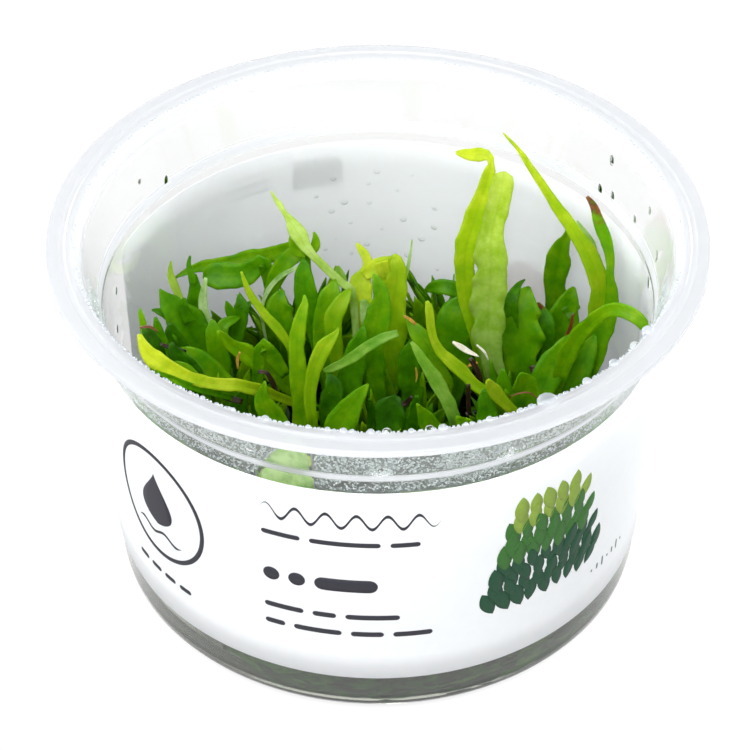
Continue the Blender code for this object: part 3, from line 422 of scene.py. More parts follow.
# Smaller leaves that stand up in the plantlets, in the same way
SMALL_LEAVES = {
    "right": [
        (-90, 0.28, 0.4, 0.3, 0, 0, [(22.1, 4, 13, 1.3), (20.4, 4, 22, 2.6),
         (20.2, 4.7, 24.8, 2.6), (20, 5.3, 26.9, 2.2), (19.9, 6, 28.5, 0.5)]),
        (-90, 0.3, 0.44, 0.3, 0, 0, [(28.9, 5.4, 13, 1.8), (30.1, 6, 22.8, 3.5),
         (31.5, 7, 25.7, 4.5), (32.8, 8, 28.7, 4.2), (33.9, 9, 30.7, 2.6), (34.7, 10, 32.2, 0.5)]),
        (-90, 0.22, 0.34, 0.3, 0, 0, [(22.7, 11, 13, 1.1), (21.3, 14, 35.7, 2.2),
         (21.9, 15.3, 36.7, 1.6), (22.6, 16.7, 37.1, 1), (23.6, 18, 37.1, 0.3)]),
        (-90, 0.24, 0.36, 0.3, 0, 0.3, [(19.8, -1.6, 13, 1.4), (17.2, -4, 24.8, 2.8),
         (17.1, -3.3, 27.7, 3.1), (16.8, -2.7, 29.6, 2.2), (16.5, -2, 31.1, 0.5)]),
        (-90, 0.2, 0.3, 0.3, 0, 0.45, [(27, 11, 13, 1.3), (27.4, 14, 29.9, 2.6),
         (26.9, 15, 31.6, 2.3), (26.3, 16, 32.7, 1.3), (25.8, 17, 33.1, 0.5)]),
        (-90, 0.5, 0.6, 0.3, 0.6, 0, [(33.5, 15.2, 13, 0.3), (36.7, 20, 33.4, 0.6),
         (36.6, 20.8, 35.7, 1), (35.9, 21.6, 38.3, 1), (34.5, 22.4, 41.2, 1),
         (33.1, 23.2, 43, 0.8), (32, 24, 44.4, 0.3)]),
    ],
    "middle": [
        (-90, 0.42, 0.52, 0.3, 0, 0, [(-6, 7.9, 13, 1.4), (-9, 10, 31.2, 2.9),
         (-8.5, 10.8, 34.6, 3.8), (-7.8, 11.6, 37.3, 4.1), (-7.3, 12.4, 39.1, 3.2),
         (-7, 13.2, 40.1, 1.3), (-6.8, 14, 40.4, 0.3)]),
        (-90, 0.28, 0.4, 0.3, 0, 0, [(-6.9, 9.3, 13, 1.1), (-10.3, 12, 31.2, 2.2),
         (-11.2, 12.8, 34.7, 3.2), (-11.5, 13.6, 37.9, 3.8), (-11.8, 14.4, 40.3, 3.2),
         (-11.8, 15.2, 42.1, 1.9), (-11.9, 16, 43.1, 0.5)]),
        (-90, 0.46, 0.66, 0.3, 0, 0, [(-4.6, 6.5, 13, 1.3), (-7, 8, 32.8, 2.5),
         (-7.1, 9, 35.7, 2.9), (-6.2, 10, 38, 2.7), (-5.2, 11, 39.2, 2.1), (-4.4, 12, 40, 0.5)]),
        (-90, 0.24, 0.38, 0.3, 0, 0, [(-3.4, 2.3, 13, 1.9), (-5.3, 2, 25.4, 3.8),
         (-4.4, 2.6, 29.1, 4.4), (-3.8, 3.2, 32.3, 4.1), (-3.1, 3.8, 35.1, 3.1),
         (-2.5, 4.4, 37.2, 1.6), (-2.2, 5, 38.2, 0.5)]),
        (-90, 0.18, 0.3, 0.3, 0, 0, [(-5.3, 0.2, 13, 1.4), (-7.9, -1, 23.8, 2.9),
         (-7.4, -0.2, 26.9, 3.5), (-7.1, 0.5, 28.8, 3.2), (-7.4, 1.2, 30.2, 2.1),
         (-7.9, 2, 30.8, 0.5)]),
        (-90, 0.16, 0.3, 0.3, 0, 0, [(-0.4, -3.3, 13, 0.6), (-0.9, -6, 24.8, 1.3),
         (-1.1, -6.7, 28.8, 1.4), (-1.1, -7.3, 31.8, 1.2), (-1.4, -8, 34.3, 0.3)]),
        (-90, 0.22, 0.34, 0.3, 0, 0, [(4.1, 5.1, 13, 1.8), (5.5, 6, 23, 3.5), (5, 6.8, 26.6, 3.8),
         (4.8, 7.5, 29.7, 3.2), (5.3, 8.2, 31.6, 1.6), (5.4, 9, 32.4, 0.5)]),
        (-90, 0.16, 0.28, 0.3, 0, 0, [(4, -6.1, 13, 1.1), (5.3, -10, 28, 2.2),
         (5.4, -10.7, 31.5, 2.2), (5.7, -11.3, 34.9, 1.8), (5.9, -12, 38.4, 0.5)]),
        (-90, 0.34, 0.48, 0.3, 0, 0, [(7, -7.5, 13, 1.2), (9.6, -12, 29.8, 2.5),
         (8.1, -12.5, 32.5, 2.9), (7.2, -13, 35, 2.6), (6.4, -13.5, 37, 1.2),
         (5.9, -14, 38.5, 0.3)]),
        (-90, 0.1, 0.2, 0.3, 0, 0, [(1.1, -3.3, 13, 2.4), (1.1, -6, 24.8, 4.7),
         (1.6, -5.3, 27.6, 5.3), (2.2, -4.7, 29.9, 4.1), (3.1, -4, 31.4, 0.9)]),
        (-90, 0.4, 0.54, 0.3, 0, 0, [(10.2, -8.9, 13, 1.1), (14.1, -14, 32.4, 2.1),
         (13.1, -14.3, 34.5, 2.7), (12.3, -14.7, 36, 1.2), (12, -15, 36.9, 0.3)]),
    ],
    "left": [
        (-90, 0.26, 0.36, 0.3, 0, 0, [(-27.8, 12, 13, 1.8), (-28.5, 15, 24.5, 3.6),
         (-29.2, 15.6, 28.2, 4.2), (-29.4, 16.2, 31.7, 3.9), (-29.3, 16.8, 34.3, 2.9),
         (-29.4, 17.4, 36.5, 1.8), (-29.4, 18, 38.3, 0.5)]),
        (-90, 0.5, 0.5, 0.3, 0.75, 0, [(-27, 11.3, 13, 0.7), (-27.4, 14, 30.4, 1.5),
         (-28, 15, 32.9, 1.6), (-28.1, 16, 35.4, 1.3), (-27.6, 17, 38.3, 0.5)]),
        (-90, 0.38, 0.62, 0.3, 0, 0, [(-33.5, 5.7, 13, 0.6), (-36.7, 6, 32, 1.1),
         (-36.9, 6.5, 34.9, 1.3), (-37.1, 7, 37.1, 1.1), (-37.4, 7.5, 38.6, 0.8),
         (-37.5, 8, 39.4, 0.2)]),
        (-90, 0.28, 0.4, 0.3, 0, 0, [(-31.2, 6.4, 13, 0.8), (-33.5, 7, 29.9, 1.6),
         (-34.3, 7.7, 32.9, 1.6), (-34.9, 8.3, 35, 1.4), (-35.3, 9, 36.7, 0.5)]),
        (-90, 0.1, 0.18, 0.3, 0, 0.35, [(-32.1, 4.3, 13, 1.1), (-34.7, 4, 34.1, 2.2),
         (-35.6, 4.7, 35.6, 2.2), (-36.4, 5.3, 36.9, 1.6), (-37, 6, 37.4, 0.5)]),
        (-90, 0.1, 0.2, 0.3, 0, 0, [(-27.9, 1.5, 13, 1.7), (-28.8, 0, 31.3, 3.5),
         (-30.3, 0.5, 33.3, 3.8), (-31.3, 1, 35, 3.1), (-32.1, 1.5, 36.4, 1.6),
         (-32.2, 2, 37.4, 0.5)]),
        (-90, 0.16, 0.26, 0.3, 0, 0, [(-29.4, 7.8, 13, 1.6), (-30.8, 9, 27.4, 3.2),
         (-32.2, 9.7, 30.4, 3.5), (-32.9, 10.3, 32.5, 2.6), (-33.2, 11, 34.1, 0.5)]),
        (-90, 0.34, 0.5, 0.3, 0, 0, [(-20.5, 2.9, 13, 1.1), (-18.2, 2, 36.8, 2.2),
         (-17.3, 2.3, 35.1, 2.5), (-16.1, 2.7, 32.7, 2.5), (-14.6, 3, 29.6, 1.6)]),
        (-90, 0.42, 0.52, 0.3, 0, 0, [(-26.7, 0.1, 13, 0.6), (-27, -2, 30.5, 1.3),
         (-28.5, -1.5, 32.6, 1.9), (-29.9, -1, 34, 2), (-31.3, -0.5, 34.8, 1.4),
         (-32.2, 0, 34.8, 0.3)]),
    ],
    "back_left": [
        (-90, 0.4, 0.5, 0.3, 0, 0, [(-16.1, 20.4, 13, 0.8), (-17.9, 18, 29.2, 1.6),
         (-17.5, 18.6, 32.9, 2.1), (-16.5, 19.2, 36.5, 2.6), (-14.8, 19.8, 39.3, 2.9),
         (-13, 20.4, 40.7, 2.6), (-11.3, 21, 40.8, 0.6)]),
        (-90, 0.34, 0.44, 0.3, 0, 0, [(-13.9, 17.6, 13, 1.6), (-14.7, 14, 28.3, 3.2),
         (-15.6, 14.8, 31.4, 4.2), (-16.1, 15.5, 33.5, 4.2), (-15.8, 16.2, 35, 2.4),
         (-15.3, 17, 35.8, 0.5)]),
        (-90, 0.5, 0.5, 0.3, 0.8, 0, [(-16.8, 19.7, 13, 0.2), (-18.8, 17, 29.6, 0.5),
         (-18.6, 17.4, 32.8, 0.6), (-17.4, 17.8, 35.6, 0.8), (-15.6, 18.2, 37.7, 0.8),
         (-13.5, 18.6, 38.8, 0.6), (-11.6, 19, 39.5, 0.3)]),
        (-90, 0.36, 0.46, 0.3, 0, 0.2, [(-20.9, 16.2, 13, 1.1), (-24.7, 12, 28.5, 2.3),
         (-25.3, 13, 29.7, 2.3), (-24.8, 14, 31, 1.9), (-23.4, 15, 31.2, 1.3),
         (-22.2, 16, 31, 0.3)]),
    ],
}

# Drops of condensed water on the wall: azimuth, height, size across in mm, and how tall for its
# width
DROPS = [
    (270.6, 51.0, 4.6, 0.62), (295.2, 50.4, 3.3, 1.0), (234.0, 47.6, 0.9, 1.0),
    (235.2, 51.2, 0.8, 1.0), (303.5, 48.6, 0.9, 1.0), (245.0, 52.2, 1.5, 0.8),
    (262.0, 47.9, 0.6, 1.0), (281.0, 47.7, 0.7, 1.0), (288.0, 52.6, 0.7, 1.0),
    (34.1, 50.8, 1.2, 1.8), (29.9, 51.4, 1.0, 2.0), (20.4, 51.6, 0.9, 2.0), (6.1, 52.4, 1.1, 2.2),
    (5.6, 47.6, 1.1, 2.2), (16.0, 55.5, 1.0, 1.8), (33.0, 56.5, 1.1, 2.0), (142.4, 50.9, 1.0, 2.2),
    (168.6, 42.6, 0.9, 1.8), (170.8, 36.2, 0.9, 1.8), (150.0, 54.0, 0.8, 1.6),
]

# Drops along the inner edge of the mouth: x in mm at the front, and size
EDGE_DROPS = [
    (-24.6, 0.9), (-20.2, 0.8), (-15.7, 1.3), (-12.6, 1.0), (-9.7, 0.9), (-7.0, 1.0), (-4.8, 1.2),
    (-3.6, 0.9), (-1.0, 1.2), (1.2, 1.5), (4.6, 1.0), (7.2, 1.5), (9.0, 1.4), (12.2, 0.8),
    (15.5, 1.1), (17.8, 0.8), (19.9, 1.0), (21.4, 1.1), (23.9, 3.2), (29.5, 1.4),
    (33.6, 1.6), (36.8, 1.5), (39.0, 2.0),
]

# Dead bits: which finish (0 bleached, 1 tan, 2 dark, 3 reddish), then x, y, z and width in mm
DEAD_BITS = [
    (0, [(11.9, 8, 32.4, 0.8), (12.9, 8, 31.6, 1.8), (14, 8, 30.7, 1.9), (15.2, 8, 29.9, 1.3),
         (16.2, 8, 29.3, 0.3)]),
    (0, [(15.7, 7, 32.6, 0.5), (16.9, 7, 31.2, 0.8), (17.6, 7, 29.5, 0.3)]),
    (1, [(14.2, 6, 28.9, 0.5), (15, 6, 29.5, 1.3), (15.9, 6, 29.7, 0.6)]),
    (2, [(14.6, 5, 31.6, 1.6), (15.9, 5, 28.7, 2.2), (16.6, 5, 25.8, 1.3)]),
    (2, [(14.2, -2, 32.2, 1.3), (14.2, -2, 29.1, 1.7), (14.5, -2, 25.9, 1.4)]),
    (2, [(-18.8, -1, 33.8, 1.3), (-17.5, -1, 33.6, 1.6), (-16.5, -1, 31.5, 1.9),
         (-15.9, -1, 29.2, 0.9)]),
    (2, [(-27.1, -3, 31.4, 1.6), (-24.4, -3, 30.6, 2.2), (-21.3, -3, 29.3, 1.9)]),
    (1, [(-21.6, 1, 36.2, 0.6), (-22, 1, 34.6, 1.1), (-22, 1, 32.7, 0.5)]),
    (3, [(31.3, 14, 33.3, 0.6), (31.1, 14, 30.6, 1.3), (30.1, 14, 27.8, 1)]),
    (3, [(25.6, 16, 33.9, 0.8), (26.5, 16, 32.7, 1.3), (27.5, 16, 31.4, 0.6)]),
    (3, [(20.5, -4, 31.2, 0.3), (22.2, -4, 32, 0.5), (23.7, -4, 32, 0.5), (25, -4, 30.8, 0.3)]),
    (3, [(-36.8, 0, 41.9, 0.6), (-35.3, 0, 42.1, 0.9), (-34.1, 0, 41.1, 0.5)]),
    (2, [(-30.2, 3, 34.5, 1.3), (-32.4, 3, 35.3, 1.9), (-34.2, 3, 36.2, 0.9)]),
    (1, [(4.1, 9, 36.9, 0.8), (5.4, 9, 35.9, 1.3), (6.4, 9, 34.7, 0.6)]),
    (2, [(2.2, 2, 25.8, 1.6), (4.1, 2, 24.5, 2.2), (5.4, 2, 26.2, 1)]),
    (2, [(24.4, 8, 26.6, 2.2), (26.8, 8, 27.4, 2.2), (28.5, 8, 29.1, 1)]),
    (1, [(5.9, -2, 35.5, 0.3), (6.1, -2, 34, 0.6), (5.9, -2, 32.6, 0.3)]),
]

# How many taller leaves stand up in each plantlet
TALL_LEAVES = {"right": 30, "middle": 30, "left": 33, "back_left": 33, "back_right": 33,
               "front_left": 21, "front_right": 21}


# ---------------------------------------------------------------- colour and material helpers

def linear(colour):
    """The linear RGBA of an sRGB hex colour such as #6aa000."""
    shares = [int(colour[i:i + 2], 16) / 255.0 for i in (1, 3, 5)]
    return (*[c / 12.92 if c <= 0.04045 else ((c + 0.055) / 1.055) ** 2.4 for c in shares], 1.0)


def add(tree, kind, inputs=None, **settings):
    """Adds a node. An input is a value or a hex colour for its socket, another node's output to
    link to it, or another node, whose first output is linked."""
    made = tree.nodes.new("ShaderNode" + kind)
    for key, value in settings.items():
        setattr(made, key, value)
    for key, value in (inputs or {}).items():
        if isinstance(value, bpy.types.Node):
            value = value.outputs[0]
        if isinstance(value, str):
            value = linear(value)
        if isinstance(value, bpy.types.NodeSocket):
            tree.links.new(value, made.inputs[key])
        else:
            made.inputs[key].default_value = value
    return made


def new_material(name):
    made = bpy.data.materials.new(name)
    made.use_nodes = True
    made.node_tree.nodes.clear()
    return made, made.node_tree


def ramp(tree, factor, stops):
    """A colour ramp through (place, hex colour) stops."""
    made = add(tree, "ValToRGB", {"Fac": factor})
    elements = made.color_ramp.elements
    while len(elements) < len(stops):
        elements.new(1.0)
    for element, (place, colour) in zip(elements, stops):
        element.position = place
        element.color = linear(colour)
    return made


def see_through(tree, surface, tint):
    """Ends a clear material: lamps shine through with a tint, and all else meets its surface."""
    path = add(tree, "LightPath")
    clear = add(tree, "BsdfTransparent", {"Color": tint})
    mix = add(tree, "MixShader", {0: path.outputs["Is Shadow Ray"], 1: surface, 2: clear})
    add(tree, "OutputMaterial", {"Surface": mix})


def moulded_polypropylene():
    """Clear injection-moulded polypropylene: glossy and almost flawless, whiter towards the lip,
    with a band of painted glare on the step, and a milkiness that shows where it is seen along the
    wall."""
    made, tree = new_material("clear moulded polypropylene")
    place = add(tree, "TexCoord").outputs["Object"]
    # flow ripples about 8 mm apart, seen as a slow wobble in what shows through
    flow = add(tree, "TexNoise", {"Vector": place, "Scale": 120.0, "Detail": 1.0})
    bump = add(tree, "Bump", {"Height": flow, "Strength": 0.04, "Distance": 0.04 * MM})
    surface = add(tree, "BsdfPrincipled", {
        "Base Color": "#fcfcfc", "Roughness": 0.04, "IOR": 1.49,
        "Transmission Weight": 1.0, "Normal": bump})
    through = add(tree, "BsdfTranslucent", {"Color": "#c9cbce"})
    face = add(tree, "BsdfPrincipled", {
        "Base Color": "#c9cbce", "Roughness": 0.3, "IOR": 1.49})
    milk = add(tree, "MixShader", {0: 0.5, 1: through, 2: face})
    height = add(tree, "SeparateXYZ", {0: place}).outputs[2]
    lip = add(tree, "MapRange", {
        "Value": height, "From Min": 57.8 * MM, "From Max": 59.4 * MM, "To Min": 0.03,
        "To Max": 0.66})
    # the white band on the step is painted glare: milk laid where light is caught in the step
    off_step = add(tree, "Math", {0: height, 1: 49.8 * MM}, operation="SUBTRACT")
    near_step = add(tree, "Math", {0: off_step}, operation="ABSOLUTE")
    step = add(tree, "MapRange", {
        "Value": near_step, "From Min": 0.5 * MM, "From Max": 0.9 * MM, "To Min": 0.85,
        "To Max": 0.0})
    slant = add(tree, "LayerWeight", {"Blend": 0.35})
    along_wall = add(tree, "MapRange", {
        "Value": slant.outputs["Facing"], "From Min": 0.72, "From Max": 1.0, "To Min": 0.0,
        "To Max": 0.2})
    lower = add(tree, "Math", {0: step, 1: along_wall}, operation="MAXIMUM")
    milk_and_glare = add(tree, "Math", {0: lip, 1: lower}, operation="MAXIMUM")
    hazy = add(tree, "MixShader", {0: milk_and_glare, 1: surface, 2: milk})
    see_through(tree, hazy, "#fafafa")
    return made


def nutrient_gel():
    """Set agar gel: clear as water with a faint yellow-green cast and a slightly uneven top."""
    made, tree = new_material("set nutrient gel")
    place = add(tree, "TexCoord").outputs["Object"]
    uneven = add(tree, "TexNoise", {"Vector": place, "Scale": 220.0, "Detail": 3.0})
    bump = add(tree, "Bump", {"Height": uneven, "Strength": 0.4, "Distance": 0.15 * MM})
    surface = add(tree, "BsdfPrincipled", {
        "Base Color": "#eef4e2", "Roughness": 0.03, "IOR": 1.335,
        "Transmission Weight": 1.0, "Normal": bump})
    see_through(tree, surface, "#e6efd8")
    return made


def condensed_water():
    """Water condensed in beads: fully clear and smooth."""
    made, tree = new_material("condensed water")
    surface = add(tree, "BsdfPrincipled", {
        "Base Color": "#ffffff", "Roughness": 0.0, "IOR": 1.333,
        "Transmission Weight": 1.0})
    see_through(tree, surface, "#fafcfa")
    return made


def dew():
    """Film of the finest mist: a grey, blurred view through the wet wall. It is thickest at the
    front and thins out to the sides."""
    made, tree = new_material("mist of condensed water")
    place = add(tree, "TexCoord").outputs["Object"]
    depth = add(tree, "SeparateXYZ", {0: place}).outputs[1]
    thick = add(tree, "MapRange", {
        "Value": depth, "From Min": -41.0 * MM, "From Max": -27.0 * MM, "To Min": 1.0,
        "To Max": 0.0})
    tint = add(tree, "Mix", {
        "Factor": thick, 6: "#ffffff", 7: "#828e8d"}, data_type="RGBA")
    rough = add(tree, "Math", {0: thick, 1: 0.4}, operation="MULTIPLY")
    wet = add(tree, "BsdfPrincipled", {
        "Base Color": tint.outputs[2], "Roughness": rough, "IOR": 1.333,
        "Transmission Weight": 1.0})
    see_through(tree, wet, "#f0f1f1")
    return made


def fine_dew():
    """Beads too small to see through: a white point each."""
    made, tree = new_material("fine white dew")
    through = add(tree, "BsdfTranslucent", {"Color": "#bcc4c2"})
    face = add(tree, "BsdfPrincipled", {
        "Base Color": "#bcc4c2", "Roughness": 0.4, "IOR": 1.333})
    white = add(tree, "MixShader", {0: 0.5, 1: through, 2: face})
    see_through(tree, white, "#f0f1f1")
    return made


def glint_white_water():
    """Small drops seen as white domes: water made milky, a painted highlight for the light their
    steep sides catch.
    """
    made, tree = new_material("water drops whitened as painted highlight")
    clear = add(tree, "BsdfPrincipled", {
        "Base Color": "#ffffff", "Roughness": 0.15, "IOR": 1.333,
        "Transmission Weight": 1.0})
    through = add(tree, "BsdfTranslucent", {"Color": "#ccd0d4"})
    milky = add(tree, "MixShader", {0: 0.65, 1: clear, 2: through})
    see_through(tree, milky, "#fafafa")
    return made


def label_paper():
    """Coated white label paper: a soft sheen, fine fibres, and light showing through it."""
    made, tree = new_material("coated white label paper")
    place = add(tree, "TexCoord").outputs["Object"]
    # fibre clouding about 2 mm wide, and fibres 0.15 mm fine, drawn a little coarser to show
    cloud = add(tree, "TexNoise", {"Vector": place, "Scale": 500.0, "Detail": 4.0})
    colour = ramp(tree, cloud, [(0.3, "#f4f7fa"), (0.7, "#f8fafc")])
    fibre = add(tree, "TexNoise", {"Vector": place, "Scale": 4000.0, "Detail": 2.0})
    bump = add(tree, "Bump", {"Height": fibre, "Strength": 0.15, "Distance": 0.03 * MM})
    coated = add(tree, "BsdfPrincipled", {
        "Base Color": colour, "Roughness": 0.42, "IOR": 1.46, "Normal": bump})
    through = add(tree, "BsdfTranslucent", {"Color": "#fafbfa"})
    mix = add(tree, "MixShader", {0: 0.25, 1: coated, 2: through})
    add(tree, "OutputMaterial", {"Surface": mix})
    return made


def printing_ink(name, colour):
    """Offset printing ink: a thin even film with a slight mottle from the paper under it."""
    made, tree = new_material(name)
    place = add(tree, "TexCoord").outputs["Object"]
    mottle = add(tree, "TexNoise", {"Vector": place, "Scale": 1500.0, "Detail": 3.0})
    value = add(tree, "MapRange", {"Value": mottle, "To Min": 0.88, "To Max": 1.12})
    shade = add(tree, "HueSaturation", {"Color": colour, "Value": value})
    inked = add(tree, "BsdfPrincipled", {"Base Color": shade, "Roughness": 0.38, "IOR": 1.5})
    through = add(tree, "BsdfTranslucent", {"Color": shade})
    mix = add(tree, "MixShader", {0: 0.55, 1: inked, 2: through})
    add(tree, "OutputMaterial", {"Surface": mix})
    return made


def fern_leaf():
    """Wet living fern leaf: glossy cuticle over thin tissue that light shines through, darker at
    the root and lime at the growing tip, with a net of veins, a midrib and a few brown spots."""
    made, tree = new_material("wet fern leaf")
    place = add(tree, "TexCoord").outputs["Object"]
    blade = add(tree, "SeparateXYZ", {
        0: add(tree, "Attribute", attribute_name="blade").outputs["Vector"]})
    state = add(tree, "SeparateXYZ", {
        0: add(tree, "Attribute", attribute_name="state").outputs["Vector"]})
    across, tone, dry, pale = blade.outputs[0], *state.outputs

    # blotches about 2.5 mm wide shift the tone
    blotch = add(tree, "TexNoise", {
        "Vector": place, "Scale": 420.0, "Detail": 4.0, "Roughness": 0.6})
    shift = add(tree, "MapRange", {
        "Value": blotch, "From Min": 0.25, "From Max": 0.75, "To Min": -0.13, "To Max": 0.13})
    toned = add(tree, "Math", {0: tone, 1: shift}, operation="ADD")
    green = ramp(tree, toned, [
        (0.0, "#122c00"), (0.2, "#2e6800"), (0.4, "#509200"), (0.6, "#7cac06"),
        (0.8, "#9cba14"), (1.0, "#c0ce36")])

    # where a leaf is marked pale, whitish blotches are mixed in: partly its own paler tissue,
    # partly a painted wet sheen
    film = add(tree, "MapRange", {
        "Value": blotch, "From Min": 0.35, "From Max": 0.65, "To Min": 0.4, "To Max": 1.5})
    pale_sheen_share = add(tree, "Math", {0: pale, 1: film}, operation="MULTIPLY", use_clamp=True)
    green_with_pale_sheen = add(tree, "Mix", {"Factor": pale_sheen_share, 6: green, 7: "#b6cf94"}, data_type="RGBA")

    # the vein net is about 0.9 mm wide on the real leaf
    veins = add(tree, "TexVoronoi", {"Vector": place, "Scale": 900.0}, feature="DISTANCE_TO_EDGE")
    net = add(tree, "MapRange", {
        "Value": veins, "From Min": 0.0, "From Max": 0.12, "To Min": 0.95, "To Max": 1.0})
    off_middle = add(tree, "Math", {0: across}, operation="ABSOLUTE")
    rib = add(tree, "MapRange", {
        "Value": off_middle, "From Min": 0.04, "From Max": 0.16, "To Min": 0.93, "To Max": 1.0})
    darker = add(tree, "Math", {0: net, 1: rib}, operation="MULTIPLY")
    # leaves lower in the clump are darker: partly their real age, partly painted shade where the
    # clump shades them
    height = add(tree, "SeparateXYZ", {0: place}).outputs[2]
    deep = add(tree, "MapRange", {
        "Value": height, "From Min": 9.0 * MM, "From Max": 27.0 * MM, "To Min": 0.55,
        "To Max": 1.0})
    depth = add(tree, "Math", {0: darker, 1: deep}, operation="MULTIPLY")
    lined = add(tree, "Mix", {
        "Factor": 1.0, 6: green_with_pale_sheen.outputs[2], 7: depth}, data_type="RGBA", blend_type="MULTIPLY")

    # dead and bruised tissue, where a leaf's dryness says so
    spots = add(tree, "TexNoise", {"Vector": place, "Scale": 700.0, "Detail": 3.0})
    spoiled = add(tree, "Math", {0: spots, 1: dry}, operation="ADD")
    brown_share = add(tree, "MapRange", {"Value": spoiled, "From Min": 0.95, "From Max": 1.15})
    brown = ramp(tree, spots, [(0.3, "#4a2c12"), (0.6, "#8a6230")])
    final = add(tree, "Mix", {
        "Factor": brown_share, 6: lined.outputs[2], 7: brown}, data_type="RGBA")
    lit = add(tree, "HueSaturation", {
        "Color": final.outputs[2], "Hue": 0.485, "Saturation": 1.1, "Value": 1.45})

    relief = add(tree, "Math", {0: darker, 1: blotch}, operation="ADD")
    bump = add(tree, "Bump", {"Height": relief, "Strength": 0.5, "Distance": 0.12 * MM})
    skin = add(tree, "BsdfPrincipled", {
        "Base Color": final.outputs[2], "Roughness": 0.36, "IOR": 1.36, "Specular IOR Level": 0.22,
        "Coat Weight": 0.06, "Coat Roughness": 0.12, "Coat IOR": 1.33, "Normal": bump})
    tissue = add(tree, "BsdfTranslucent", {"Color": lit})
    mix = add(tree, "MixShader", {0: 0.42, 1: skin, 2: tissue})
    add(tree, "OutputMaterial", {"Surface": mix})
    return made


def brown_tissue(name, dark, light, scale):
    """Woody or dead plant tissue: matt, streaky brown, a little damp."""
    made, tree = new_material(name)
    place = add(tree, "TexCoord").outputs["Object"]
    grain = add(tree, "TexNoise", {
        "Vector": place, "Scale": scale, "Detail": 5.0, "Roughness": 0.7})
    colour = ramp(tree, grain, [(0.3, dark), (0.7, light)])
    bump = add(tree, "Bump", {"Height": grain, "Strength": 0.8, "Distance": 0.2 * MM})
    surface = add(tree, "BsdfPrincipled", {
        "Base Color": colour, "Roughness": 0.42, "Normal": bump})
    add(tree, "OutputMaterial", {"Surface": surface})
    return made


# ---------------------------------------------------------------- mesh helpers

def polar(turn, reach=1.0, height=0.0):
    """The point at a turn in radians, a reach from the axis and a height."""
    return Vector((reach * math.cos(turn), reach * math.sin(turn), height))


def finish(name, shape, materials, replaced=None, thickness=None):
    """Turns a bmesh into a piece that rides with the cup; a flat one takes a thickness in mm."""
    mesh = bpy.data.meshes.new(name)
    shape.to_mesh(mesh)
    shape.free()
    for material in materials:
        mesh.materials.append(material)
    mesh.shade_smooth()
    made = bpy.data.objects.new(name, mesh)
    bpy.context.scene.collection.objects.link(made)
    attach(made, "root")
    if replaced:
        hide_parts(replaced)
    if thickness:
        skin = made.modifiers.new("thickness", "SOLIDIFY")
        skin.thickness = thickness * MM
        skin.offset = 0.0


def copies(shape, make, count):
    """Makes one small form and doubles it until there are enough; returns each copy's points."""
    kinds = (shape.verts, shape.edges, shape.faces)
    starts = [len(items) for items in kinds]
    make()
    sizes = [len(items) - start for items, start in zip(kinds, starts)]
    done = 1
    while done < count:
        more = min(done, count - done)
        geometry = []
        for items, start, size in zip(kinds, starts, sizes):
            items.ensure_lookup_table()
            geometry += items[start:start + more * size]
        bmesh.ops.duplicate(shape, geom=geometry)
        done += more
    shape.verts.ensure_lookup_table()
    first, size = starts[0], sizes[0]
    return [shape.verts[first + i * size:first + (i + 1) * size] for i in range(count)]


def sheets(shape, columns, rows, count, material=0):
    """Flat grids that run from -1 to 1 each way, as lists of their points."""
    def make():
        bmesh.ops.create_grid(shape, x_segments=columns, y_segments=rows, size=1.0)
        shape.faces.ensure_lookup_table()
        for face in shape.faces[-columns * rows:]:
            face.material_index = material

    return copies(shape, make, count)


def place_points(points, put):
    """Puts each point of a grid where put(point, across, along), -1 to 1 and 0 to 1, says."""
    for point in points:
        point.co = put(point, point.co.x, (point.co.y + 1.0) / 2.0)


def rounded(corners):
    """A profile through (radius, height, rounding) corners, with each corner turned by an arc."""
    points = []
    for i, (x, z, size) in enumerate(corners):
        here = Vector((x, z))
        if size == 0.0 or i in (0, len(corners) - 1):
            points.append(here)
            continue
        back = Vector(corners[i - 1][:2]) - here
        ahead = Vector(corners[i + 1][:2]) - here
        reach = min(size, 0.48 * back.length, 0.48 * ahead.length)
        start = here + back.normalized() * reach
        end = here + ahead.normalized() * reach
        for step in range(5):
            t = step / 4
            points.append(start * (1 - t) ** 2 + here * 2 * t * (1 - t) + end * t**2)
    return points


def spun(points, steps):
    """A turned body from profile points in mm, closed at the axis."""
    shape = bmesh.new()
    ring = [shape.verts.new((p.x * MM, 0.0, p.y * MM)) for p in points]
    edges = [shape.edges.new(pair) for pair in zip(ring, ring[1:])]
    bmesh.ops.spin(shape, geom=ring + edges, cent=(0, 0, 0), axis=(0, 0, 1),
                   angle=2 * math.pi, steps=steps, use_merge=True)
    bmesh.ops.remove_doubles(shape, verts=shape.verts, dist=0.002 * MM)
    bmesh.ops.recalc_face_normals(shape, faces=shape.faces)
    return shape


def body_radius(height):
    """The outer radius of the cup's tapered body, in mm."""
    rise = (height - CORNER_RADIUS) / (LABEL_TOP - CORNER_RADIUS)
    return BODY_FOOT_RADIUS + (BODY_TOP_RADIUS - BODY_FOOT_RADIUS) * rise


def inner_radius(height):
    """The radius of the cup's inside, in mm."""
    if height < STEP_HEIGHT - STEP_SLOPE:
        return body_radius(height) - WALL
    step = BODY_TOP_RADIUS + STEP_DEPTH - WALL
    if height < STEP_HEIGHT:
        share = (height - STEP_HEIGHT + STEP_SLOPE) / STEP_SLOPE
        low = body_radius(STEP_HEIGHT) - WALL
        return low + (step - low) * share
    share = min((height - STEP_HEIGHT) / (CUP_HEIGHT - MOUTH_BEND - STEP_HEIGHT), 1.0)
    return step + (MOUTH_RADIUS - step) * share


# ---------------------------------------------------------------- cup, gel and label

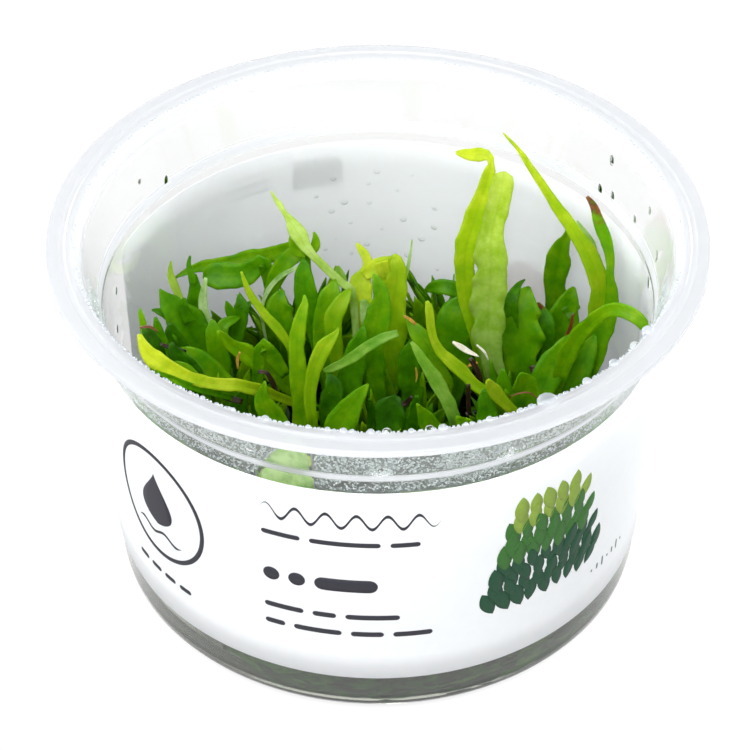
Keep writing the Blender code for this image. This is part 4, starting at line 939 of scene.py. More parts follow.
def cup(material):
    floor = FOOT_RECESS + WALL
    lip_under = CUP_HEIGHT - 0.8
    foot = BODY_FOOT_RADIUS
    step = BODY_TOP_RADIUS + STEP_DEPTH
    ring = foot - CORNER_RADIUS - 5.0
    corners = [
        (0.0, floor, 0.0),
        (foot - WALL, floor, 2.5),
        (body_radius(STEP_HEIGHT) - WALL, STEP_HEIGHT - STEP_SLOPE, 0.4),
        (step - WALL, STEP_HEIGHT, 0.4),
        (MOUTH_RADIUS, CUP_HEIGHT - MOUTH_BEND, 0.3),
        (MOUTH_RADIUS + 1.0, CUP_HEIGHT, 0.6),
        (LIP_GROOVE[0], CUP_HEIGHT, 0.1),
        (LIP_GROOVE[1], CUP_HEIGHT - LIP_GROOVE_DEPTH, 0.12),
        (LIP_GROOVE[2], CUP_HEIGHT - LIP_GROOVE_DEPTH, 0.12),
        (LIP_GROOVE[3], CUP_HEIGHT, 0.1),
        (LIP_RADIUS, CUP_HEIGHT - 0.05, 0.3),
        (LIP_RADIUS, lip_under - 0.3, 0.2),
        (LIP_RADIUS - 0.6, lip_under - 0.3, 0.2),
        (LIP_RADIUS - 0.8, lip_under - 0.05, 0.2),
        (MOUTH_RADIUS + 1.7, lip_under - 0.05, 0.5),
        (MOUTH_RADIUS + WALL, lip_under - 1.4, 0.5),
        (step, STEP_HEIGHT - 0.2, 0.4),
        (body_radius(STEP_HEIGHT), STEP_HEIGHT - 1.4, 0.4),
        (foot, 0.0, CORNER_RADIUS),
        (ring, 0.0, 0.3),
        (ring - FOOT_RECESS, FOOT_RECESS, 0.3),
        (0.0, FOOT_RECESS, 0.0),
    ]
    finish("clear_cup", spun(rounded(corners), CUP_STEPS), [material], "cup")


def gel(material):
    wall = body_radius(GEL_TOP) - WALL + WETTING
    corners = [
        (0.0, GEL_TOP, 0.0),
        (wall - 2.5, GEL_TOP, 1.5),
        (wall, GEL_TOP + GEL_MENISCUS, 0.15),
        (BODY_FOOT_RADIUS - WALL + WETTING, GEL_BOTTOM, 2.4),
        (0.0, GEL_BOTTOM, 0.0),
    ]
    finish("gel_layer", spun(rounded(corners), CUP_STEPS), [material], "gel")


def print_mark(shape, columns, rows, outline, middle, ink, turn=0, layer=0):
    """Prints one inked shape on the flat label; outline(across, along) gives its points in mm."""
    base = PAPER + INK * (0.6 + 1.2 * layer)
    spin = Matrix.Rotation(math.radians(turn), 3, "Z")
    points = sheets(shape, columns, rows, 1, ink)[0]
    place_points(points, lambda _, across, along: (
        spin @ Vector((*outline(across, along), 0.0)) + Vector((*middle, base))))


def raised(shape, faces, thickness):
    """Gives flat faces of the label their thickness, outwards."""
    grown = bmesh.ops.extrude_face_region(shape, geom=faces)["geom"]
    bmesh.ops.translate(shape, vec=(0, 0, thickness),
                        verts=[item for item in grown if isinstance(item, bmesh.types.BMVert)])


def bar(length, height):
    """The outline of a bar with round ends, lying along the label."""
    def outline(across, along):
        x = -0.5 * length * math.cos(math.pi * along)
        past = max(abs(x) - 0.5 * (length - height), 0.0) / (0.5 * height)
        return x, 0.5 * height * across * math.sqrt(max(1.0 - past**2, 0.0))
    return outline


def block(length, height):
    """The outline of a plain block."""
    return lambda across, along: ((along - 0.5) * length, 0.5 * height * across)


def ring_outline(radius, width):
    def outline(across, along):
        turn = 2 * math.pi * along
        out = radius + 0.5 * width * across
        return out * math.cos(turn), out * math.sin(turn)
    return outline


def drop_outline(length):
    """A drop standing on its round end."""
    def outline(across, along):
        swell = math.sin(math.pi * along**0.62) ** 1.25
        return 0.36 * length * across * swell, (0.5 - along) * length * -1.0
    return outline


def wave_outline(length, pitch, height, width):
    """A wavy line that runs along the label and tapers at its ends."""
    def outline(across, along):
        x = (along - 0.5) * length
        taper = min(1.0, 8.0 * along, 8.0 * (1.0 - along))
        return x, height * math.sin(2 * math.pi * x / pitch) + 0.5 * width * across * taper
    return outline


def petal_outline(length, width):
    """A plain pointed oval."""
    def outline(across, along):
        return 0.5 * width * across * math.sin(math.pi * along) ** 0.8, (along - 0.5) * length
    return outline


def label(paper, inks):
    """The paper wrap with plain printed marks: a ring with a drop, bars, and a panel of ovals."""
    scale = math.radians(1.0) * LABEL_RADIUS
    left = (LABEL_START_DEG - FRONT_DEG) * scale
    right = left + LABEL_SWEEP_DEG * scale
    shape = bmesh.new()

    def paper_point(_, across, along):
        x = left + (right - left) * along
        near_end = max(LABEL_CORNER - min(x - left, right - x), 0.0)
        cut = LABEL_CORNER - math.sqrt(max(LABEL_CORNER**2 - near_end**2, 0.0))
        half = 0.5 * (LABEL_TOP - LABEL_BOTTOM) - cut
        return Vector((x, 0.5 * (LABEL_TOP + LABEL_BOTTOM) + half * across, 0.0))

    dark, grey, teal, green, lime, clay = 1, 2, 3, 4, 5, 6
    print_mark(shape, 2, 120, ring_outline(10.2, 0.8), (-38.5, 29.5), dark)
    print_mark(shape, 6, 28, drop_outline(10.4), (-38.5, 30.6), dark)
    print_mark(shape, 2, 40, wave_outline(11.0, 5.5, 0.5, 0.55), (-38.5, 23.6), dark)
    for i in range(4):
        print_mark(shape, 2, 14, bar(2.6, 0.9), (-43.8 + 3.6 * i, 15.0), dark)
    print_mark(shape, 2, 150, wave_outline(27.0, 4.5, 1.3, 0.62), (-4.2, 41.0), dark)
    rows = [
        (36.4, 0.9, (6.0, 10.5, 4.4)),
        (27.8, 2.6, (2.6, 2.6, 9.5)),
        (21.2, 1.0, (6.2, 3.6, 8.2)),
        (17.6, 1.0, (3.2, 7.4, 5.0, 6.0)),
    ]
    for height, thick, words in rows:
        x = -17.5
        for length in words:
            print_mark(shape, 2, 10 + int(length), bar(length, thick),
                       (x + 0.5 * length, height), dark)
            x += length + 1.4
    panel(shape, (teal, green, lime))
    for i in range(7):
        print_mark(shape, 2, 10, bar(0.5 + 0.7 * (i % 3), 0.4), (38.0 + 1.5 * i, 15.6), grey, 90)
    # the far side carries a block and rows that show through the paper from inside
    far = 180.0 * scale
    print_mark(shape, 2, 12, block(8.6, 5.6), (far + 10.3, 41.2), grey)
    for i, length in enumerate((9.0, 7.0, 8.0)):
        print_mark(shape, 2, 20, bar(length, 0.5), (far + 26.0 - 0.5 * length, 43.4 - 1.7 * i),
                   grey)
    print_mark(shape, 12, 16, petal_outline(11.0, 9.0), (far - 27.5, 23.5), clay, 70)

    bmesh.ops.remove_doubles(shape, verts=shape.verts, dist=0.0005)
    raised(shape, shape.faces[:], INK)
    printed = len(shape.faces)
    place_points(sheets(shape, 8, 420, 1)[0], paper_point)
    shape.faces.ensure_lookup_table()
    raised(shape, shape.faces[printed:], PAPER)

    for vertex in shape.verts:
        turn = math.radians(FRONT_DEG) + vertex.co.x / LABEL_RADIUS
        out = (body_radius(vertex.co.y) + LABEL_CLEARANCE + vertex.co.z) * MM
        vertex.co = polar(turn, out, vertex.co.y * MM)
    bmesh.ops.recalc_face_normals(shape, faces=shape.faces)
    finish("paper_label", shape, [paper] + inks, "label")


def panel(shape, inks):
    """A half-round panel of pointed ovals in rows, dark below and lime above."""
    dice = random.Random(5)
    for row in range(9):
        count = 9 - row // 2
        for i in range(count):
            x = 27.5 + (i - 0.5 * (count - 1)) * 2.5 + (0.6 if row % 2 else -0.6)
            y = 20.8 + 2.2 * row
            lean = (x - 27.5) * -1.8 + dice.uniform(-14, 14)
            ink = inks[0] if row < 4 else inks[1] if row < 7 else inks[2]
            size = dice.uniform(0.85, 1.15)
            print_mark(shape, 2, 8, petal_outline(4.8 * size, 2.3 * size), (x, y), ink, lean,
                       (row + i) % 3)


# ---------------------------------------------------------------- plants

def smooth(rows):
    """The smooth curve through rows that start with x, y and z: a function of 0 to 1."""
    rows = [Vector(row) for row in rows]
    marks = [0.0]
    for one, two in zip(rows, rows[1:]):
        marks.append(marks[-1] + (two - one).to_3d().length)
    last = len(rows) - 1
    slopes = []
    for i in range(last + 1):
        low, high = max(i - 1, 0), min(i + 1, last)
        slopes.append((rows[high] - rows[low]) / (marks[high] - marks[low]))

    def at(along):
        place = min(max(along, 0.0), 1.0) * marks[-1]
        i = max(j for j in range(last) if marks[j] <= place)
        gap = marks[i + 1] - marks[i]
        t = (place - marks[i]) / gap
        return (rows[i] * (2 * t**3 - 3 * t**2 + 1) + slopes[i] * gap * (t**3 - 2 * t**2 + t)
                + rows[i + 1] * (3 * t**2 - 2 * t**3) + slopes[i + 1] * gap * (t**3 - t**2))

    return at


def width_share(along, tip):
    """How wide a plain leaf is at 0 to 1 along it, as a share of its widest width."""
    rise = min(max((along - 0.1) / 0.42, 0.0), 1.0)
    base = 0.3 + 0.7 * rise * rise * (3.0 - 2.0 * rise)
    fall = max(along - 0.6, 0.0) / 0.4
    return base * max(1.0 - fall**tip, 0.04)


def grown(knots, width, tip):
    """The path of a plain leaf through knots: its middle and its width at 0 to 1."""
    middle = smooth(knots)
    return lambda along: (middle(along), width * width_share(along, tip))


def followed(rows):
    """The path of a leaf whose rows give x, y, z and width: its middle and its width at 0 to 1."""
    row = smooth(rows)
    return lambda along: (row(along).to_3d(), max(row(along)[3], 0.1))


def leaf_layers(shape):
    return (shape.verts.layers.float_vector.new("blade"),
            shape.verts.layers.float_vector.new("state"))


def leaf_blade(points, layers, path, facing, twist, tones, wave, seed, fold=0.22, lobes=(),
               pale=0.0, dry=0.0, dry_from=0.0):
    """One leaf grown along its path: folded at the midrib, with a wavy edge and side lobes."""
    steps = [path(i / 8)[0] for i in range(9)]
    length = sum((two - one).length for one, two in zip(steps, steps[1:]))
    rise = math.radians(FACING_RISE_DEG)
    ripples = length / 4.5
    frames = {}

    def frame_at(along):
        if along not in frames:
            middle, width = path(along)
            forward = (path(along + 0.015)[0] - path(along - 0.015)[0]).normalized()
            azimuth = math.radians(facing + twist * along)
            face = Vector((math.cos(azimuth) * math.cos(rise),
                           math.sin(azimuth) * math.cos(rise), math.sin(rise)))
            side = forward.cross(face).normalized()
            frames[along] = middle, 0.5 * width, forward, side, side.cross(forward)
        return frames[along]

    def put(point, across, along):
        middle, half, forward, side, normal = frame_at(along)
        hand = 1.0 if across > 0 else -1.0
        edge = noise.noise((seed, hand * 3.0, along * ripples * 1.4))
        nick = noise.noise((seed + 40.0, hand * 3.0, along * ripples * 2.7))
        ragged = 0.32 * wave + 0.12 * max(half - 1.2, 0.0)
        half *= 1.0 + (ragged * edge + 0.12 * nick) * abs(across) ** 3
        for place, lobe_hand, reach, broad in lobes:
            if lobe_hand == hand:
                near = (along - place) * length / (0.5 * broad)
                half += reach * math.exp(-near * near) * abs(across)
                middle = middle + forward * 0.35 * reach * math.exp(-near * near) * abs(across)
        ruffle = math.sin(seed + 6.28 * ripples * along + hand * 1.3)
        lift = half * (fold * abs(across) + 0.22 * wave * ruffle * across * across)
        lift += 0.10 * wave * half * noise.noise((seed * 1.7, across * 1.5, along * ripples))
        point[layers[0]] = (across, along, seed)
        dried = dry * min(max((along - dry_from) / 0.14, 0.0), 1.0) if dry_from else dry
        point[layers[1]] = (tones[0] + (tones[1] - tones[0]) * along**0.8, dried, pale)
        spot = middle + side * half * across + normal * lift
        # nothing reaches past the wall
        over = math.hypot(spot.x, spot.y) / (inner_radius(spot.z) - WALL_CLEARANCE)
        if over > 1.0:
            spot.x /= over
            spot.y /= over
        return spot * MM

    place_points(points, put)


def blades(shape, layers, leaves, seed):
    """Grows each leaf of a table."""
    for i, (facing, tone_root, tone_tip, wave, pale, dry, rows) in enumerate(leaves):
        points = sheets(shape, 6, 18 + 3 * len(rows), 1)[0]
        leaf_blade(points, layers, followed(rows), facing, 0.0, (tone_root, tone_tip), wave,
                   seed + 7.3 * i, pale=pale, dry=dry, dry_from=0.82)


def long_leaf(name, leaves, material):
    seed = float(sum(ord(letter) * (i + 1) for i, letter in enumerate(name)) % 97)
    shape = bmesh.new()
    blades(shape, leaf_layers(shape), leaves, seed)
    finish("long_leaf_" + name, shape, [material], "leaf_" + name,
           LONG_LEAF_THICKNESS)


def plantlet_radius(place, turn):
    """How far a plantlet spreads one way: to the wall, or half way to its next neighbour."""
    x, y, _ = place
    way = (math.cos(turn), math.sin(turn))
    along = x * way[0] + y * way[1]
    across = x * way[1] - y * way[0]
    reach = math.sqrt(PLANTLET_REACH**2 - across**2) - along
    for other in PLANTLETS.values():
        apart = (other[0] - x, other[1] - y)
        distance = math.hypot(*apart)
        if distance < 1.0:
            continue
        facing = (apart[0] * way[0] + apart[1] * way[1]) / distance
        if facing > 0.05:
            reach = min(reach, (0.5 * distance - PLANTLET_SPACING) / facing)
    return reach


def mound_point(place, turn, climb):
    """The point of a plantlet's mound at a turn and a climb from 0 at its rim to a right angle."""
    out = math.cos(climb) ** (2.0 / PLANTLET_FULLNESS) * plantlet_radius(place, turn)
    up = math.sin(climb) ** (2.0 / PLANTLET_FULLNESS) * place[2]
    return Vector((place[0] + out * math.cos(turn), place[1] + out * math.sin(turn),
                   PLANTLET_BASE + up))


def plantlet(name, place, material):
    """The leaves of one plantlet: dead ones flat on the gel, low ones from its crown out to the
    mound's surface, taller ones that stand up among them, and those of its table."""
    dice = random.Random(name)
    shape = bmesh.new()
    layers = leaf_layers(shape)
    flat = sheets(shape, 2, 6, 44)
    low = sheets(shape, 2, 8, 80)
    tall = sheets(shape, 4, 10, TALL_LEAVES[name])
    for points in flat:
        turn = dice.uniform(0, 2 * math.pi)
        reach = plantlet_radius(place, turn) * math.sqrt(dice.random())
        middle = Vector((place[0] + reach * math.cos(turn), place[1] + reach * math.sin(turn),
                         dice.uniform(8.2, 11.0)))
        heading = dice.uniform(0, 2 * math.pi)
        step = polar(heading, height=dice.uniform(-0.1, 0.1))
        knots = [middle + step * reach for reach in (-5.5, 0.0, 5.5)]
        if max(math.hypot(knot.x, knot.y) for knot in knots) > PLANTLET_REACH:
            knots = [knot * (PLANTLET_REACH / (PLANTLET_REACH + 5.5)) for knot in knots]
        tone = dice.uniform(-0.05, 0.10)
        flat_facing = math.degrees(heading) + 90.0
        leaf_blade(points, layers, grown(knots, dice.uniform(4.0, 6.0), 1.7), flat_facing, 0,
                   (tone, tone + 0.06), 0.6, dice.uniform(0, 90), dry=dice.uniform(0.1, 0.4))
    for i, points in enumerate(low + tall):
        is_tall = i >= len(low)
        share = (i - len(low) + 0.5) / len(tall) if is_tall else (i + 0.5) / len(low)
        climb = math.asin(0.35 + 0.65 * share) if is_tall else math.asin(0.10 + 0.90 * share)
        turn = i * GOLDEN_TURN + dice.uniform(-0.2, 0.2)
        tip = mound_point(place, turn, climb)
        crown = Vector((place[0], place[1], PLANTLET_BASE + 0.3))
        root = crown.lerp(Vector((tip.x, tip.y, crown.z)), dice.uniform(0.25, 0.6))
        if is_tall:
            tip.z += dice.uniform(1.0, 5.5)
            width, lobe = dice.uniform(1.7, 3.6), (1.3, 2.2)
        else:
            tip = root.lerp(tip, dice.uniform(0.80, 1.0))
            width, lobe = dice.uniform(1.6, 3.2), (1.2, 2.0)
        bend = root.lerp(tip, 0.5) + Vector((0, 0, dice.uniform(0.5, 3.0)))
        bend += Vector((-(tip.y - root.y), tip.x - root.x, 0)) * dice.uniform(-0.18, 0.18)
        tone = dice.uniform(0.08, 0.36) + 0.14 * share
        facing = math.degrees(turn) + dice.uniform(-70, 70)
        lobes = ()
        if dice.random() < 0.5:
            lobes = ((dice.uniform(0.5, 0.7), dice.choice((-1, 1)), *lobe),)
        leaf_blade(points, layers, grown([root, bend, tip], width, 1.9), facing,
                   dice.uniform(-30, 30), (tone, tone + 0.18), 0.8, dice.uniform(0, 90),
                   lobes=lobes)
    blades(shape, layers, SMALL_LEAVES.get(name, ()), dice.uniform(0, 90))
    finish("low_leaves_" + name, shape, [material], "plantlet_" + name,
           SMALL_LEAF_THICKNESS)


def buried_leaves(material):
    """Leaves and runners pressed flat in the gel, thickest against the wall at the front."""
    dice = random.Random(11)
    shape = bmesh.new()
    layers = leaf_layers(shape)
    at_wall = 420
    for i, points in enumerate(sheets(shape, 2, 6, at_wall + 260)):
        radius = dice.uniform(35.0, 39.2) if i < at_wall else 38.5 * math.sqrt(dice.random())
        turn = math.radians(dice.uniform(240, 352) if i < 0.7 * at_wall
                            else dice.uniform(-60, 195))
        if 186 < math.degrees(turn) % 360 < 238:
            radius *= 0.5
        height = dice.uniform(*BURIED_HEIGHTS)
        heading = turn + math.pi / 2 + dice.uniform(-0.6, 0.6)
        length = dice.uniform(7.0, 15.0)
        middle = polar(turn, radius, height)
        step = polar(heading, height=dice.uniform(-0.15, 0.15))
        knots = []
        for share in (-0.5, 0.0, 0.5):
            point = middle + step * length * share
            reach = math.hypot(point.x, point.y)
            if reach > BURIED_REACH:
                point.x *= BURIED_REACH / reach
                point.y *= BURIED_REACH / reach
            point.z = min(max(point.z, BURIED_HEIGHTS[0]), BURIED_HEIGHTS[1])
            knots.append(point)
        width = dice.uniform(2.2, 4.2)
        tone = dice.choice((-0.2, -0.05, 0.1))
        tone += 0.2 if abs(math.degrees(turn) - 272.0) > 18 else 0.0
        leaf_blade(points, layers, grown(knots, width, 1.7),
                   math.degrees(turn) + dice.uniform(-50, 50), 0, (tone, tone + 0.12), 0.5,
                   dice.uniform(0, 90))
    finish("leaves_in_gel", shape, [material], thickness=SMALL_LEAF_THICKNESS)


def tube(points, knots, radius_at, knobs=0.0, seed=0.0):
    """Wraps a grid into a closed tube along knots in mm, with its ends drawn to a point."""
    path = smooth(knots)

    def put(_, across, along):
        middle = path(along)
        forward = (path(along + 0.02) - path(along - 0.02)).normalized()
        side = forward.cross(Vector((0.1, 0.2, 1.0))).normalized()
        up = side.cross(forward)
        turn = math.pi * across
        radius = 0.0 if along in (0.0, 1.0) else radius_at(along)
        radius *= 1.0 + knobs * noise.noise((seed, along * 14.0, math.sin(turn)))
        return (middle + side * radius * math.cos(turn) + up * radius * math.sin(turn)) * MM

    place_points(points, put)


def rhizome(name, route, bark, hair):
    """A knobbly creeping stem with leaf scars and fine dark roots into the gel."""
    dice = random.Random(name)
    shape = bmesh.new()
    knots = [Vector((x, y, RHIZOME_HEIGHT)) for x, y in route]
    path = smooth(knots)

    def stem(along):
        end = min(along, 1.0 - along) / 0.06
        nodes = 0.92 + 0.08 * math.sin(along * 40.0)
        return RHIZOME_RADIUS * nodes * min(1.0, 0.45 + 0.55 * end)

    for points in sheets(shape, 5, 8, 46, 1):
        start = path(dice.uniform(0.03, 0.97))
        turn = dice.uniform(0, 2 * math.pi)
        reach = dice.uniform(2.5, 7.0)
        way = polar(turn)
        bend = start + way * reach * 0.5 + Vector((0, 0, dice.uniform(-0.8, 0.9)))
        end = start + way * reach + Vector((0, 0, dice.uniform(-3.5, -0.6)))
        end.z = max(end.z, 3.0)
        tube(points, [start, bend, end], lambda along: 0.16 * (1.1 - along))
    tube(sheets(shape, 16, 64, 1)[0], knots, stem, 0.22, dice.uniform(0, 50))
    bmesh.ops.remove_doubles(shape, verts=shape.verts, dist=0.001 * MM)
    bmesh.ops.recalc_face_normals(shape, faces=shape.faces)
    finish("creeping_" + name, shape, [bark, hair], "rhizome_" + name)


def dead_bits():
    """Bleached, tan and dark brown bits of dead leaf and root caught among the leaves."""
    finishes = [brown_tissue("bleached leaf tissue", "#cfc4ae", "#f4f0e6", 700.0),
                brown_tissue("tan leaf tissue", "#8a6418", "#c89a3c", 900.0),
                brown_tissue("dark rotted tissue", "#120a05", "#382312", 700.0),
                brown_tissue("reddish leaf stalk", "#4a2008", "#7e4216", 900.0)]
    shape = bmesh.new()
    layers = leaf_layers(shape)
    for i, (finish_index, rows) in enumerate(DEAD_BITS):
        rows = [(x, y, z, width * DEAD_BIT_SHARE) for x, y, z, width in rows]
        points = sheets(shape, 4, 10, 1, finish_index)[0]
        leaf_blade(points, layers, followed(rows), -90, 0.0, (0.5, 0.5), 0.8, 3.1 * i)
    finish("dead_bits", shape, finishes, thickness=SMALL_LEAF_THICKNESS)


# ---------------------------------------------------------------- condensation

def bead(points, turn, height, size, flat=0.6, stretch=1.0):
    """Turns a unit ball into a drop on the cup's inside wall; sizes in mm, turn in radians."""
    half = 0.5 * size
    radius = inner_radius(height) - flat * half - 0.02
    out = polar(turn)
    side = Vector((-math.sin(turn), math.cos(turn), 0.0))
    for point in points:
        x, y, z = point.co * half
        rise = Vector((0, 0, height + z * stretch))
        point.co = (out * (radius + y * flat) + side * x + rise) * MM


def balls(shape, rings, count):
    return copies(shape, lambda: bmesh.ops.create_icosphere(shape, subdivisions=rings, radius=1.0),
                  count)


def is_wiped(x, height, spare=0.0):
    """Whether a leaf that leans on the front of the wall keeps it clear here, in mm."""
    return WIPED[0] + WIPED_LEAN * (height - WIPED_HEIGHT) < x < WIPED[1] + spare


def beads(name, low, high, count, seed, material, least=0.3, rings=2):
    """Separate beads on the front of the wall between two heights, none where a leaf touches."""
    dice = random.Random(seed)
    shape = bmesh.new()
    for points in balls(shape, rings, count):
        turn, height = dice.uniform(*FRONT_ARC_DEG), dice.uniform(low, high)
        if is_wiped(inner_radius(height) * math.cos(math.radians(turn)), height, 0.3):
            turn = sum(FRONT_ARC_DEG) - turn
        bead(points, math.radians(turn), height, least + 0.3 * dice.random() ** 3.0)
    finish(name, shape, [material])


def mist(name, low, high, material):
    """A sheet of mist that lines the front of the wall between two heights, open where a leaf
    touches it and at the two large drops."""
    steps = 12
    points = [Vector((inner_radius(z) - MIST_GAP, z))
              for z in [low + (high - low) * i / steps for i in range(steps + 1)]]
    shape = spun(points, 3 * CUP_STEPS)
    large = []
    for turn, height, size, tall in DROPS[:2]:
        out = polar(math.radians(turn))
        large.append((out * inner_radius(height) + Vector((0, 0, height)), 0.5 * size * tall))
    bare = []
    for face in shape.faces:
        middle = face.calc_center_median() / MM
        if (middle.y > MIST_BACK or is_wiped(middle.x, middle.z)
                or min((middle - drop).length - size for drop, size in large) < 0.0):
            bare.append(face)
    bmesh.ops.delete(shape, geom=bare, context="FACES")
    finish(name, shape, [material], thickness=MIST)


def wall_drops(material):
    """Larger drops: on the wall, on the step, and small round ones on the far side."""
    dice = random.Random(8)
    places = list(DROPS)
    for i in range(26):
        places.append((74.0 + 32.0 * (0.618 * i % 1.0) + dice.uniform(-2.0, 2.0),
                       18.0 + 0.95 * i + dice.uniform(-1.0, 1.0), dice.uniform(0.4, 1.3), 0.9))
    shape = bmesh.new()
    for points, (turn, height, size, tall) in zip(balls(shape, 3, len(places)), places):
        flat = 0.07 if 60 < turn < 110 else 0.12 if turn < 180 else 0.5
        bead(points, math.radians(turn), height, size, flat, tall)
    finish("drops_on_wall", shape, [material])


def drop_rim_glints(material):
    """Painted highlights: white rings laid at the steep rims of the larger drops, where these
    catch the light.
    """
    dice = random.Random(6)
    places = [place for place in DROPS if 180 < place[0] < 320]
    for _ in range(40):
        height = dice.choice((dice.uniform(50.9, 54.5), dice.uniform(47.0, 48.6)))
        places.append((dice.gauss(280, 24), height, dice.uniform(0.4, 0.7), 1.0))

    def ring():
        one = bmesh.new()
        made = bmesh.ops.create_circle(one, segments=5, radius=0.1)["verts"]
        bmesh.ops.translate(one, verts=made, vec=(0.9, 0.0, 0.0))
        bmesh.ops.spin(one, geom=made + one.edges[:], cent=(0, 0, 0), axis=(0, 1, 0),
                       angle=2 * math.pi, steps=18, use_merge=True)
        mesh = bpy.data.meshes.new("ring")
        one.to_mesh(mesh)
        one.free()
        shape.from_mesh(mesh)
        bpy.data.meshes.remove(mesh)

    shape = bmesh.new()
    for points, (turn, height, size, tall) in zip(copies(shape, ring, len(places)), places):
        bead(points, math.radians(turn), height, size, 0.5, tall)
    bmesh.ops.recalc_face_normals(shape, faces=shape.faces)
    finish("drop_rim_glints", shape, [material])


def edge_drops(name, places, material):
    """Drops that hang along the inner edge of the mouth, at turns in degrees, with their sizes."""
    shape = bmesh.new()
    for points, (turn, size) in zip(balls(shape, 2, len(places)), places):
        half = 0.5 * size
        out = polar(math.radians(turn))
        middle = out * (MOUTH_RADIUS + 0.9 - 0.2 * half)
        middle.z = CUP_HEIGHT - 0.15 - 0.3 * half
        low = 0.62 if size > 2.0 else 1.0
        for point in points:
            x, y, z = point.co * half
            point.co = (middle + Vector((x, y, z * low))) * MM
    finish(name, shape, [material])


# ---------------------------------------------------------------- lights, floor and camera

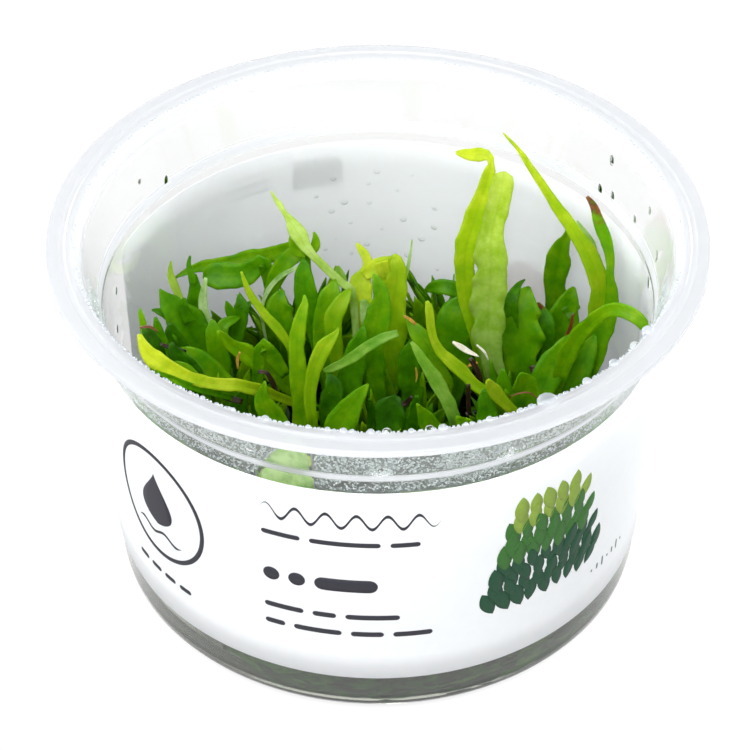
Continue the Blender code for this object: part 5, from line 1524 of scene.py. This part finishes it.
def studio():
    """A white sweep under large soft lights, and the camera at the photograph's angle."""
    scene = bpy.context.scene
    scene.view_settings.view_transform = "Standard"
    world = bpy.data.worlds.new("white studio")
    scene.world = world
    world.use_nodes = True
    tree = world.node_tree
    tree.nodes.clear()
    # bright at the horizon and dimmer overhead, where the lamps are
    way = add(tree, "TexCoord").outputs["Generated"]
    rise = add(tree, "SeparateXYZ", {0: way}).outputs[2]
    strength = add(tree, "MapRange", {
        "Value": rise, "From Min": 0.05, "From Max": 0.4, "To Min": 0.95, "To Max": 0.8})
    light = add(tree, "Background", {"Color": (1.0, 1.0, 1.0, 1.0), "Strength": strength})
    add(tree, "OutputWorld", {"Surface": light})

    shape = bmesh.new()
    bmesh.ops.create_grid(shape, x_segments=1, y_segments=1, size=1.5)
    mesh = bpy.data.meshes.new("floor")
    shape.to_mesh(mesh)
    shape.free()
    floor = bpy.data.objects.new("floor", mesh)
    floor.location.z = -0.0002
    scene.collection.objects.link(floor)
    white, tree = new_material("white sweep")
    # the sweep glows evenly, and falls off under the cup, save on its left, as a contact shadow
    place = add(tree, "TexCoord").outputs["Object"]
    away = add(tree, "VectorMath", {0: place}, operation="LENGTH")
    shade = add(tree, "MapRange", {
        "Value": away.outputs["Value"], "From Min": 36.0 * MM, "From Max": 40.8 * MM,
        "To Min": 0.12, "To Max": 1.03})
    side = add(tree, "SeparateXYZ", {0: place}).outputs[0]
    open_side = add(tree, "MapRange", {
        "Value": side, "From Min": -36.0 * MM, "From Max": -24.0 * MM, "To Min": 1.03,
        "To Max": 0.12})
    lit = add(tree, "Math", {0: shade, 1: open_side}, operation="MAXIMUM")
    glow = add(tree, "Emission", {"Color": (1.0, 1.0, 1.0, 1.0), "Strength": lit})
    add(tree, "OutputMaterial", {"Surface": glow})
    mesh.materials.append(white)

    lamps = (
        ("overhead softbox", 0.4, 2.6, (-0.10, -0.06, 0.64)),
        ("front softbox", 0.5, 2.7, (-0.16, -0.42, 0.50)),
        ("left backlight", 0.14, 2.4, (-0.40, 0.42, 0.075)),
        ("right backlight", 0.14, 2.4, (0.42, 0.40, 0.075)),
    )
    for name, size, power, place in lamps:
        lamp = bpy.data.lights.new(name, "AREA")
        lamp.shape = "SQUARE"
        lamp.size = size
        lamp.energy = power
        holder = bpy.data.objects.new(name, lamp)
        holder.location = place
        holder.rotation_euler = (Vector((0, 0, 0.03)) - Vector(place)).to_track_quat(
            "-Z", "Y").to_euler()
        scene.collection.objects.link(holder)

    view = bpy.data.cameras.new("camera")
    view.sensor_width = 36.0
    view.lens = 134.4
    view.shift_x = -0.004
    view.clip_start = 0.01
    camera = bpy.data.objects.new("camera", view)
    camera.location = (0.0, -0.3346, 0.3176)
    camera.rotation_euler = (Vector((0, 0, 0.0323)) - camera.location).to_track_quat(
        "-Z", "Y").to_euler()
    scene.collection.objects.link(camera)
    scene.camera = camera


def main():
    studio()
    water = condensed_water()
    leaf = fern_leaf()
    inks = [
        printing_ink("dark grey ink", "#4a4a55"),
        printing_ink("pale grey ink", "#98a09e"),
        printing_ink("deep green ink", "#2f6a4a"),
        printing_ink("leaf green ink", "#4f9440"),
        printing_ink("lime ink", "#b4cf5a"),
        printing_ink("clay ink", "#d87c4c"),
    ]
    bark = brown_tissue("rhizome bark", "#2a1a0c", "#5a4420", 900.0)
    hair = brown_tissue("wiry root", "#24160a", "#4a3018", 2500.0)
    cup(moulded_polypropylene())
    gel(nutrient_gel())
    label(label_paper(), inks)
    for name, route in RHIZOMES.items():
        rhizome(name, route, bark, hair)
    for name, place in PLANTLETS.items():
        plantlet(name, place, leaf)
    buried_leaves(leaf)
    for name, leaves in LEAVES.items():
        long_leaf(name, leaves, leaf)
    glint_white = glint_white_water()
    beads("condensation_above_step", STEP_HEIGHT + 0.5, 55.4, 110, 3, water)
    beads("condensation_below_step", 46.9, STEP_HEIGHT - 1.4, 60, 4, water)
    fine = fine_dew()
    beads("dew_above_step", STEP_HEIGHT + 0.4, 55.4, 4800, 5, fine, 0.21, 1)
    beads("dew_below_step", 46.6, STEP_HEIGHT - 0.9, 2300, 6, fine, 0.21, 1)
    misty = dew()
    mist("mist_above_step", STEP_HEIGHT + 0.3, 57.4, misty)
    mist("mist_below_step", 46.2, STEP_HEIGHT - 1.4, misty)
    wall_drops(water)
    drop_rim_glints(glint_white)
    dice = random.Random(9)
    large = [(math.degrees(math.asin(x / MOUTH_DROPS_RADIUS)) + FRONT_DEG, size)
             for x, size in EDGE_DROPS]
    small = [(0.7 * i + dice.uniform(-0.3, 0.3), dice.uniform(0.3, 0.7)) for i in range(514)]
    edge_drops("drops_at_mouth", [place for place in large if place[1] == 1.5], water)
    # the fine drops at the mouth take the whitened water, a painted reflection of the white lip
    # beneath them
    edge_drops("fine_drops_at_mouth", [place for place in large if place[1] != 1.5] + small,
               glint_white)
    dead_bits()


main()
